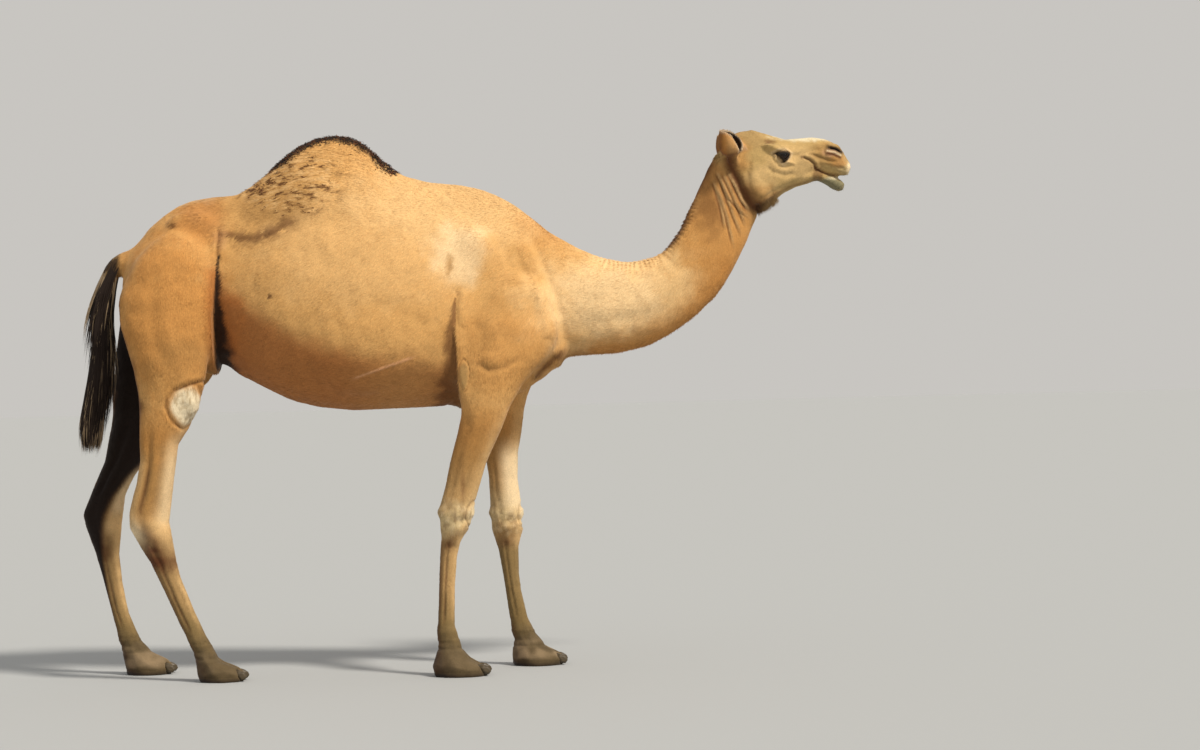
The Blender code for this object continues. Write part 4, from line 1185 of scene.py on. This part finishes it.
def makeHair(name, points, faces, normals, colours, places):
    # a finished piece of the coat, with its corner normals, tones and bake map
    mesh = bpy.data.meshes.new(name)
    mesh.vertices.add(len(points))
    mesh.vertices.foreach_set("co", points.ravel())
    mesh.loops.add(faces.size)
    mesh.loops.foreach_set("vertex_index", faces.ravel().astype(np.int32))
    mesh.polygons.add(len(faces))
    mesh.polygons.foreach_set("loop_start", np.arange(0, faces.size, 3, dtype=np.int32))
    mesh.update(calc_edges=True)
    mesh.uv_layers.new(name="OFBake").data.foreach_set("uv", places[faces.ravel()].ravel())
    mesh.normals_split_custom_set(normals)
    piece = makeObject(name, mesh)
    setColours(piece, "coat", np.clip(colours, 0.001, 0.95))
    finishPiece(piece, wool)


def cornerNormals(points, faces, upward, sideways, soft):
    # each upper corner leans from the facet's own way towards the skin's, so that the coat reads as one surface
    corners = points[faces]
    own = unit(np.cross(corners[:, 1] - corners[:, 0], corners[:, 2] - corners[:, 0]))
    own = np.repeat(own, 3, axis=0)
    flat = faces.ravel()
    wanted = unit(upward[flat] + sideways[flat])
    above = ramp((own * upward[flat]).sum(axis=1), 0.05, 0.35)
    return unit(own + (wanted - own) * (soft * above)[:, None])


def growTufts(name, roots, normals, places, seed):
    # one flat blade of three facets and a base to each root
    rng = np.random.default_rng(seed)
    count = len(roots)
    flow = hairFlow(roots)
    flow = unit(flow - (flow * normals).sum(axis=1, keepdims=True) * normals)
    aside = np.cross(normals, flow)
    size = tuftSize(roots)
    length = (coatPlan["length"] * size * (0.75 + 0.5 * rng.random(count)))[:, None]
    half = (coatPlan["width"] * (0.45 + 0.55 * size) * (0.7 + 0.6 * rng.random(count)) / 2)[:, None]
    thick = (coatPlan["thickness"] * (0.5 + 0.5 * size))[:, None]
    lift = (coatPlan["lift"] * (0.3 + 1.4 * rng.random(count)) * (1 - 0.55 * headShare(roots)))[:, None]
    bend = 0.16 * (rng.random(count) - 0.5)[:, None]
    base = roots - normals * coatPlan["rootDepth"]
    ridge = roots + flow * 0.3 * length + normals * (thick + 0.3 * length * lift)
    tip = roots + (flow + aside * bend) * length + normals * length * lift
    points = np.stack([base - aside * half, base + aside * half, ridge, tip], axis=1).reshape(-1, 3)
    start = np.arange(count)[:, None] * 4
    faces = np.concatenate([start + np.array(face) for face in ((2, 0, 3), (1, 2, 3), (0, 1, 3), (1, 0, 2))])
    upward = np.repeat(normals, 4, axis=0)
    sideways = np.stack([-0.3 * aside, 0.3 * aside, -0.1 * flow, 0.15 * flow], axis=1).reshape(-1, 3)
    turned = cornerNormals(points, faces, upward, sideways, 0.9)
    shade = 1 + coatPlan["variety"] * rng.standard_normal(count).clip(-2, 2)
    tone = coatColour(roots) * shade[:, None]
    colours = np.stack([tone * part for part in (0.94, 0.94, 1.0, 1.05)], axis=1).reshape(-1, 3)
    patch = coatPlan["patch"] / 2 * np.array([(-1, -1), (1, -1), (0, 0), (0, 1)])
    spots = (places[:, None, :] + patch).reshape(-1, 2)
    makeHair(name, points, faces, turned, colours, spots)


def makeCoat():
    points, normals = pointsOf(skin), normalsOf(skin)
    flats = {}
    for seed, (name, own) in enumerate(splitFaces(points).items()):
        flats[name] = (own, unwrapped(points, own))
        middles, area = points[own].mean(axis=1), areaOf(points[own])
        weight = (1 - bareShare(middles)) / tuftSize(middles) ** 1.3
        count = int(min(coatPlan["most"], coatPlan["density"] * (area * weight).sum()))
        roots, outward, places = scatter(points, normals, *flats[name], count, weight, seed)
        growTufts(name, roots, outward, places, 100 + seed)
        print(name, "of", round(area.sum(), 2), "square metres:", len(roots), "tufts")
    return flats


skinFlats = makeCoat()


# long hair: the hump's curls, the fringes of the neck and jaw, the ears, lashes, chin and tail

lockPlan = {  # what every lock has unless its own piece says otherwise
    "steps": 4,
    "vary": 0.3,  # how much shorter the shortest is
    "curl": 0.2,
    "turn": 0.8,  # how far the curl goes round at each step
    "droop": 0.1,
    "tuck": 0.0,  # how much it turns in to the skin
    "slot": "coat_sand",
}
# count, length and width of the locks, what sets them apart, and seeds of their roots and of their shapes
longHair = {
    "hairCrest": {"count": 3600, "length": 0.022, "width": 0.0042, "curl": 0.75, "turn": 1.6, "droop": 0.05,
                  "tuck": 0.12, "seeds": (501, 511)},
    "hairFlecks": {"count": 2400, "length": 0.015, "width": 0.0034, "curl": 0.6, "turn": 1.6, "droop": 0.0,
                   "tuck": 0.16, "steps": 3, "seeds": (502, 512)},
    "hairNape": {"count": 1500, "length": 0.016, "width": 0.003, "tuck": 0.05, "seeds": (503, 513)},
    "hairUnderneck": {"count": 1800, "length": 0.013, "width": 0.0028, "tuck": 0.06, "seeds": (504, 514)},
    "hairEars": {"count": 1300, "length": 0.007, "width": 0.0013, "curl": 0.25, "droop": 0.0, "steps": 3,
                 "seeds": (505, 515), "slot": "coat_face"},
    "hairJowl": {"count": 1000, "length": 0.024, "width": 0.0017, "vary": 0.5, "seeds": (518, 519),
                 "slot": "coat_face"},
    "hairChin": {"count": 160, "length": 0.008, "width": 0.0008, "curl": 0.15, "droop": 0.2, "steps": 3,
                 "seeds": (506, 516), "slot": "coat_face"},
    "hairTail": {"count": 2600, "length": 0.24, "width": 0.006, "curl": 0.06, "turn": 0.5, "droop": 0.0, "steps": 6,
                 "vary": 0.55, "seeds": (507, 517), "slot": "tail_hair"},
    "hairLashes": {"count": 46, "length": 0.017, "width": 0.001, "curl": 0.12, "vary": 0.55, "seeds": (600, 601),
                   "slot": "coat_face"},
}
jowl = [1112, 1706, 1140, 1726, 1180, 1750]
dock = [-1275, 1600, -1322, 1500, -1350, 1421, -1362, 1277, -1384, 1131, -1408, 1000, -1418, 900, -1421, 800]
tailEnd = 0.88  # how low the tail hangs


def growLocks(name, roots, normals, places, ways, colours, steer=None, reach=1.0):
    # long hair: three-sided locks that bend, curl and droop from root to tip
    plan = {**lockPlan, **longHair[name]}
    rng = np.random.default_rng(plan["seeds"][1])
    count, steps = len(roots), plan["steps"]
    length = np.minimum(plan["length"] * (1 - plan["vary"] * rng.random(count)), reach)
    width = plan["width"] * (0.7 + 0.6 * rng.random(count))
    turnStart = 2 * math.pi * rng.random(count)
    turnRate = plan["turn"] * (0.6 + 0.8 * rng.random(count)) * np.where(rng.random(count) < 0.5, -1, 1)
    at = roots - normals * 0.001
    way = unit(ways)
    rings, tones = [], []
    for step in range(steps + 1):
        share = step / steps
        aside = unit(np.cross(normals, way) + 1e-6)
        outward = np.cross(way, aside)
        half = (width * 0.5 * (1 - 0.85 * share ** 1.5))[:, None]
        rings.append(np.stack([at - aside * half, at + aside * half, at + outward * half * 0.8], axis=1))
        tones.append(colours * (0.85 + 0.3 * share))
        phase = turnStart + turnRate * step
        curl = plan["curl"] * (np.cos(phase)[:, None] * aside + 0.5 * np.sin(phase)[:, None] * outward)
        lead = way if steer is None else steer(at)
        way = unit(0.5 * way + 0.5 * lead + curl + np.array([0, 0, -plan["droop"]]) - normals * plan["tuck"])
        at = at + way * (length / steps)[:, None]
    points = np.concatenate([np.stack(rings, axis=1).reshape(count, -1, 3), at[:, None, :]], axis=1)
    perLock = points.shape[1]
    edges = ((0, 1), (1, 2), (2, 0))
    faces = [(0, 2, 1)]
    for low in range(0, steps * 3, 3):
        for one, two in edges:
            faces += [(low + one, low + two, low + 3 + two), (low + one, low + 3 + two, low + 3 + one)]
    faces += [(steps * 3 + one, steps * 3 + two, perLock - 1) for one, two in edges]
    faces = (np.arange(count)[:, None, None] * perLock + np.array(faces)).reshape(-1, 3)
    points = points.reshape(-1, 3)
    upward = np.repeat(normals, perLock, axis=0)
    turned = cornerNormals(points, faces, upward, np.zeros_like(upward), 0.5)
    tone = np.concatenate([np.repeat(np.stack(tones, axis=1), 3, axis=1), tones[-1][:, None, :]], axis=1).reshape(-1, 3)
    corners = np.array([(-1, 0), (1, 0), (0, 1)] * (steps + 1) + [(0, 1)], float)
    corners[:, 1] += np.arange(perLock) // 3 / (steps + 1)
    spots = (places[:, None, :] + coatPlan["patch"] / 2 * corners).reshape(-1, 2)
    makeHair(name, points, faces, turned, tone, spots)


def chooseRoots(weigh, count, seed):
    # roots on the whole skin, as thick as weigh says, each with its place on the bake map
    points, normals = pointsOf(skin), normalsOf(skin)
    own, flat = (np.concatenate(parts) for parts in zip(*skinFlats.values()))
    weight = weigh(points[own].mean(axis=1), normals[own[:, 0]])
    used = weight > 0.001
    return scatter(points, normals, own[used], flat[used], count, weight[used], seed)


def nearStreak(points, name, width):
    gap, signed, share = lineDistance(points, streaks[name][1], 0.1)
    return hill(gap, width) * (gap < 3 * width), share


def crestWeight(points, normals):
    near, share = nearStreak(points, "crest", 0.015)
    return near * ramp(normals[:, 2], -0.1, 0.3) * (points[:, 2] > 1.86)


def fleckWeight(points, normals):
    return humpZone(points) * ramp(humpCurls(points), 0.25, 0.45)


def napeWeight(points, normals):
    near, share = nearStreak(points, "nape", 0.018)
    return near * ramp(share, 0.05, 0.4) * ramp(normals[:, 0] - normals[:, 2], -0.2, -0.9)


def underWeight(points, normals):
    near, share = nearStreak(points, "under", 0.022)
    return near * ramp(normals[:, 2], 0.0, -0.5)


def earWeight(points, normals):
    away, share, height, up = earPlace(points)
    rim = hill(np.abs(share) - 1, 0.08) * ramp(up, 0.15, 0.4)
    rim = np.maximum(rim, hill(up - earTop(share), 0.08) * (np.abs(share) < 1))
    return earZone(points) * (rim + 0.12 * ramp(away - earRound(up), 0.0, 0.002))


def jowlWeight(points, normals):
    gap, signed, share = lineDistance(points, jowl, 0.1)
    return hill(gap, 0.011) * (gap < 0.03) * (share > 0) * ramp(normals[:, 2], -0.1, -0.5)


def chinWeight(points, normals):
    x, y, z = points.T
    lips = ((x > 1.39) & (z < 1.805)) * 1.0 + ((x > 1.44) & (z < 1.87)) * 0.5
    return lips + 0.15 * ((x > 1.3) & (z < 1.84))


def tailWeight(points, normals):
    x, y, z = points.T
    edge = np.interp(-z, [-1.62, -1.52, -1.42, -1.25], [-1.275, -1.3, -1.318, -1.318])
    return ((x < edge) & (np.abs(y) < 0.09) & (z > 0.93)) * (0.6 + 0.8 * ramp(z, 1.5, 1.1))


def alongTail(points):
    # down the dock, a little out from it, and in to a point below it
    x, y, z = points.T
    line = inSideView(dock)
    ways = np.diff(line, axis=0)
    lean = np.interp(-z, -(line[1:, 1] + line[:-1, 1]) / 2, ways[:, 0] / -ways[:, 1])
    off = x - np.interp(-z, -line[:, 1], line[:, 0])
    pull = 1.3 * ramp(z, 1.0, 0.88)
    spread = 0.16 * ramp(off, 0.0, 0.02) * ramp(z, 1.1, 1.25)
    return unit(np.column_stack([spread - np.abs(lean) - pull * off * 4, -pull * y * 4, np.full(len(z), -1.0)]))


def tailTones(roots):
    # black hair with tan streaks
    streaky = softNoise(roots * np.array([1, 1, 0.12]), 0.01, 44) + 0.25 * ramp(roots[:, 2], 1.2, 1.0)
    return mixed(fromHex(hair["black"]), fromHex(hair["tailStreak"]), ramp(streaky, 0.3, 0.55)[:, None])


def growLongHair():
    rng = np.random.default_rng(500)

    def chance(roots):
        return rng.random(len(roots))

    def scattered(roots):
        return rng.standard_normal(len(roots))

    def either(roots, common, rare):
        return np.where((chance(roots) < 0.7)[:, None], fromHex(hair[common]), fromHex(hair[rare]))

    def grow(name, weigh, lay, tint, reach=None, **more):
        # lay gives the way each lock sets out, tint its colour and reach the longest that it may be
        plan = longHair[name]
        roots, outward, places = chooseRoots(weigh, plan["count"], plan["seeds"][0])
        if reach:
            more["reach"] = reach(roots)
        growLocks(name, roots, outward, places, lay(roots, outward), tint(roots), **more)

    def crestWays(roots, outward):
        along = scattered(roots) * 0.8 - 0.4
        return 0.36 * outward + np.column_stack([along, np.sign(roots[:, 1]) * 0.3, scattered(roots) * 0.15])

    def fleckWays(roots, outward):
        along = rng.choice([-1.0, 1.0], len(roots))
        return 0.06 * outward + np.column_stack([along, np.zeros(len(roots)), 0.18 * scattered(roots)])

    def tailWays(roots, outward):
        return alongTail(roots) + (0.06 + 0.34 * np.clip(outward[:, 0], 0, 1))[:, None] * outward

    grow("hairCrest", crestWeight, crestWays, lambda roots: either(roots, "black", "umber") * 1.1)
    grow("hairFlecks", fleckWeight, fleckWays, lambda roots: either(roots, "umber", "dun"))
    grow("hairNape", napeWeight, lambda roots, outward: 0.15 * outward + unit(hairFlow(roots)),
         lambda roots: coatColour(roots) * 0.75)
    grow("hairUnderneck", underWeight,
         lambda roots, outward: 0.12 * outward + unit(hairFlow(roots)) * 0.9 + np.array([0, 0, -0.1]),
         lambda roots: coatColour(roots) * 0.85)
    grow("hairEars", earWeight, lambda roots, outward: earRise(roots) + 0.05 * outward, coatColour)
    grow("hairJowl", jowlWeight, lambda roots, outward: 0.25 * outward + np.array([0.35, 0, -0.75]),
         lambda roots: coatColour(roots) * 0.62)
    grow("hairChin", chinWeight, lambda roots, outward: 0.5 * outward + np.array([0.5, 0, -0.6]),
         lambda roots: np.tile(fromHex(hair["chin"]), (len(roots), 1)))
    grow("hairTail", tailWeight, tailWays, tailTones, steer=alongTail,
         reach=lambda roots: np.maximum((roots[:, 2] - tailEnd) * (0.72 + 0.34 * chance(roots)), 0.02))


def growLashes():
    # long lashes on the upper lids, in a row
    count, seeds = longHair["hairLashes"]["count"], longHair["hairLashes"]["seeds"]
    rng = np.random.default_rng(seeds[0])
    lidRadius = headPlan["eyeRadius"] + headPlan["lid"]
    roots, ways, outs = [], [], []
    for side in sides.values():
        axis = eyeFrame(np.zeros((1, 3)), side)[3]
        up = np.array([0, 0, 1.0]) - axis[2] * axis
        up /= np.linalg.norm(up)
        ahead = np.cross(up, axis)
        ahead = -ahead if ahead[0] < 0 else ahead
        for step in range(count):
            across = -0.0175 + 0.035 * (step + 0.9 * rng.random()) / count
            height = lidTop(across) + 0.0015
            dome = math.sqrt(max(lidRadius ** 2 - across ** 2 - height ** 2, 0)) + 0.0008
            roots.append(mirrored(headPlan["eye"], side) + ahead * across + up * height + axis * dome)
            ways.append(axis * (0.55 + 0.4 * rng.random()) + ahead * (across * 24 + 0.3 * rng.standard_normal())
                        - up * (0.3 + 0.55 * rng.random()))
            outs.append(up)
    places, tones = (np.tile(value, (len(roots), 1)) for value in ([0.5, 0.5], fromHex(hair["lash"])))
    growLocks("hairLashes", np.array(roots), np.array(outs), places, np.array(ways), tones)


growLongHair()
growLashes()
print("long hair grown")


# eyes

irisPlan = {
    "brown": "#2a180e",
    "ring": "#1a100a",
    "rim": "#1d110b",
    "pupil": "#050303",
    "pupilRadii": (0.0068, 0.0036),  # a level bar
    "corneaRadius": 0.0105,
    "corneaRise": 0.0016,
}


def irisTones(points, out, u, v):
    # brown iris with fine rays, a dark ring round it and a level pupil
    far = np.hypot(u, v)
    rays = 0.5 + 0.5 * np.cos(np.arctan2(v, u) * 46 + 3 * softNoise(points, 0.004, 61))
    tones = fromHex(irisPlan["brown"]) * (0.7 + 0.6 * rays * ramp(far, 0.004, 0.009))[:, None]
    pupil = np.hypot(u / irisPlan["pupilRadii"][0], v / irisPlan["pupilRadii"][1])
    for name, share in (("ring", hill(far - 0.0124, 0.0016)),
                        ("rim", ramp(far, 0.0112, 0.0132) * ramp(far, 0.0128, 0.0155) * 0.9),
                        ("pupil", ramp(pupil, 1.12, 0.92))):
        tones += (fromHex(irisPlan[name]) - tones) * share[:, None]
    tones[out < 0] = fromHex(irisPlan["ring"])
    return tones


def makeEyes():
    # wet eyes: a sharp glint over a dark iris
    wet = newMaterial("wetEye")
    tone = addNode(wet, "ShaderNodeAttribute", {"attribute_name": "iris"})
    addNode(wet, "shader", {"Roughness": 0.12, "IOR": 1.336, "Coat Weight": 0.15, "Coat Roughness": 0.02},
            {"Base Color": tone.outputs["Color"]})
    for label, side in sides.items():
        eye = addBall(mirrored(headPlan["eye"], side), headPlan["eyeRadius"], 96, 64)
        eye.name = "eye" + label
        points = pointsOf(eye)
        out, u, v, axis = eyeFrame(points, side)
        cornea = hill(np.hypot(u, v), irisPlan["corneaRadius"]) * (out > 0)
        points = points + axis * (irisPlan["corneaRise"] * cornea)[:, None]
        setPoints(eye, points)
        out, u, v, axis = eyeFrame(points, side)
        setColours(eye, "iris", irisTones(points, out, u, v))
        bpy.ops.object.shade_smooth()
        finishPiece(eye, wet)
        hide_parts("eye_" + label.lower())


makeEyes()


# toenails: the hoof-like horn at the tip of each toe

def makeNails():
    # streaked toe horn, darker than hair and a little glossier
    horn = newMaterial("toeHorn")
    place = addNode(horn, "ShaderNodeTexCoord")
    stretch = addNode(horn, "ShaderNodeMapping", {"Scale": (40, 420, 420)}, {"Vector": place.outputs["Object"]})
    grain = addNode(horn, "ShaderNodeTexNoise", {"Scale": 1.0, "Detail": 4.0}, {"Vector": stretch.outputs["Vector"]})
    tones = addNode(horn, "ShaderNodeValToRGB", None, {"Fac": grain.outputs["Fac"]})
    for element, (at, code) in zip(tones.color_ramp.elements, ((0.3, "#352b1d"), (0.7, "#574a32"))):
        element.position = at
        element.color = (*fromHex(code), 1)
    relief = addNode(horn, "ShaderNodeBump", {"Strength": 0.3, "Distance": 0.0006}, {"Height": grain.outputs["Fac"]})
    addNode(horn, "shader", {"Roughness": 0.42},
            {"Base Color": tones.outputs["Color"], "Normal": relief.outputs["Normal"]})
    for name in [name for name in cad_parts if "nail" in name]:
        label = "nail" + name.replace("_nail", "").title().replace("_", "")
        nail = makeObject(label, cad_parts[name].data.copy())
        editWhole(nail, bpy.ops.mesh.remove_doubles, threshold=0.0001)
        applyModifier(nail, "REMESH", mode="VOXEL", voxel_size=0.0012)
        applyModifier(nail, "SMOOTH", iterations=10)
        bpy.ops.object.shade_smooth()
        finishPiece(nail, horn)
        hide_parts(name)


makeNails()
print("eyes and nails made")


# floor, light and camera

stagePlan = {
    "floor": "#adb0b2",
    "floorRadius": 300,
    "sky": "#e2dfda",
    "skyStrength": 0.76,
    "sun": "#fff6e8",
    "sunFrom": (0.5, -0.45, 0.74),
    "sunStrength": 3.3,
    "sunAngle": 9,  # degrees across: a soft edge to each shadow
}
cameraPlan = {
    "place": (0.5105, -10.08, 1.0294),
    "sensor": 36,
    "lens": 80.13,
    "tilt": math.radians(90.414),
    "turn": -0.0244,
    "farthest": 900,
}


def makeStage():
    # plain paper, matt
    bpy.ops.mesh.primitive_circle_add(vertices=96, radius=stagePlan["floorRadius"], fill_type="NGON")
    floor = bpy.context.object
    floor.name = "studioFloor"
    paper = newMaterial("studioPaper")
    addNode(paper, "shader",
            {"Base Color": (*fromHex(stagePlan["floor"]), 1), "Roughness": 0.9, "Specular IOR Level": 0.1})
    floor.data.materials.append(paper)
    world = bpy.data.worlds.new("studio")
    scene.world = world
    world.use_nodes = True
    sky = world.node_tree.nodes["Background"].inputs
    sky["Color"].default_value = (*fromHex(stagePlan["sky"]), 1)
    sky["Strength"].default_value = stagePlan["skyStrength"]
    bpy.ops.object.light_add(type="SUN", location=Vector(stagePlan["sunFrom"]) * 10)
    sun = bpy.context.object
    sun.name = "key"
    sun.data.energy = stagePlan["sunStrength"]
    sun.data.angle = math.radians(stagePlan["sunAngle"])
    sun.data.color = fromHex(stagePlan["sun"])
    sun.rotation_euler = Vector(stagePlan["sunFrom"]).to_track_quat("Z", "Y").to_euler()
    scene.view_settings.view_transform = "Standard"


def makeCamera():
    bpy.ops.object.camera_add(location=cameraPlan["place"])
    camera = bpy.context.object
    camera.data.sensor_width = cameraPlan["sensor"]
    camera.data.lens = cameraPlan["lens"]
    camera.data.clip_end = cameraPlan["farthest"]
    turned = Matrix.Rotation(cameraPlan["tilt"], 3, "X") @ Matrix.Rotation(cameraPlan["turn"], 3, "Z")
    camera.rotation_euler = turned.to_euler()
    scene.camera = camera


makeStage()
makeCamera()
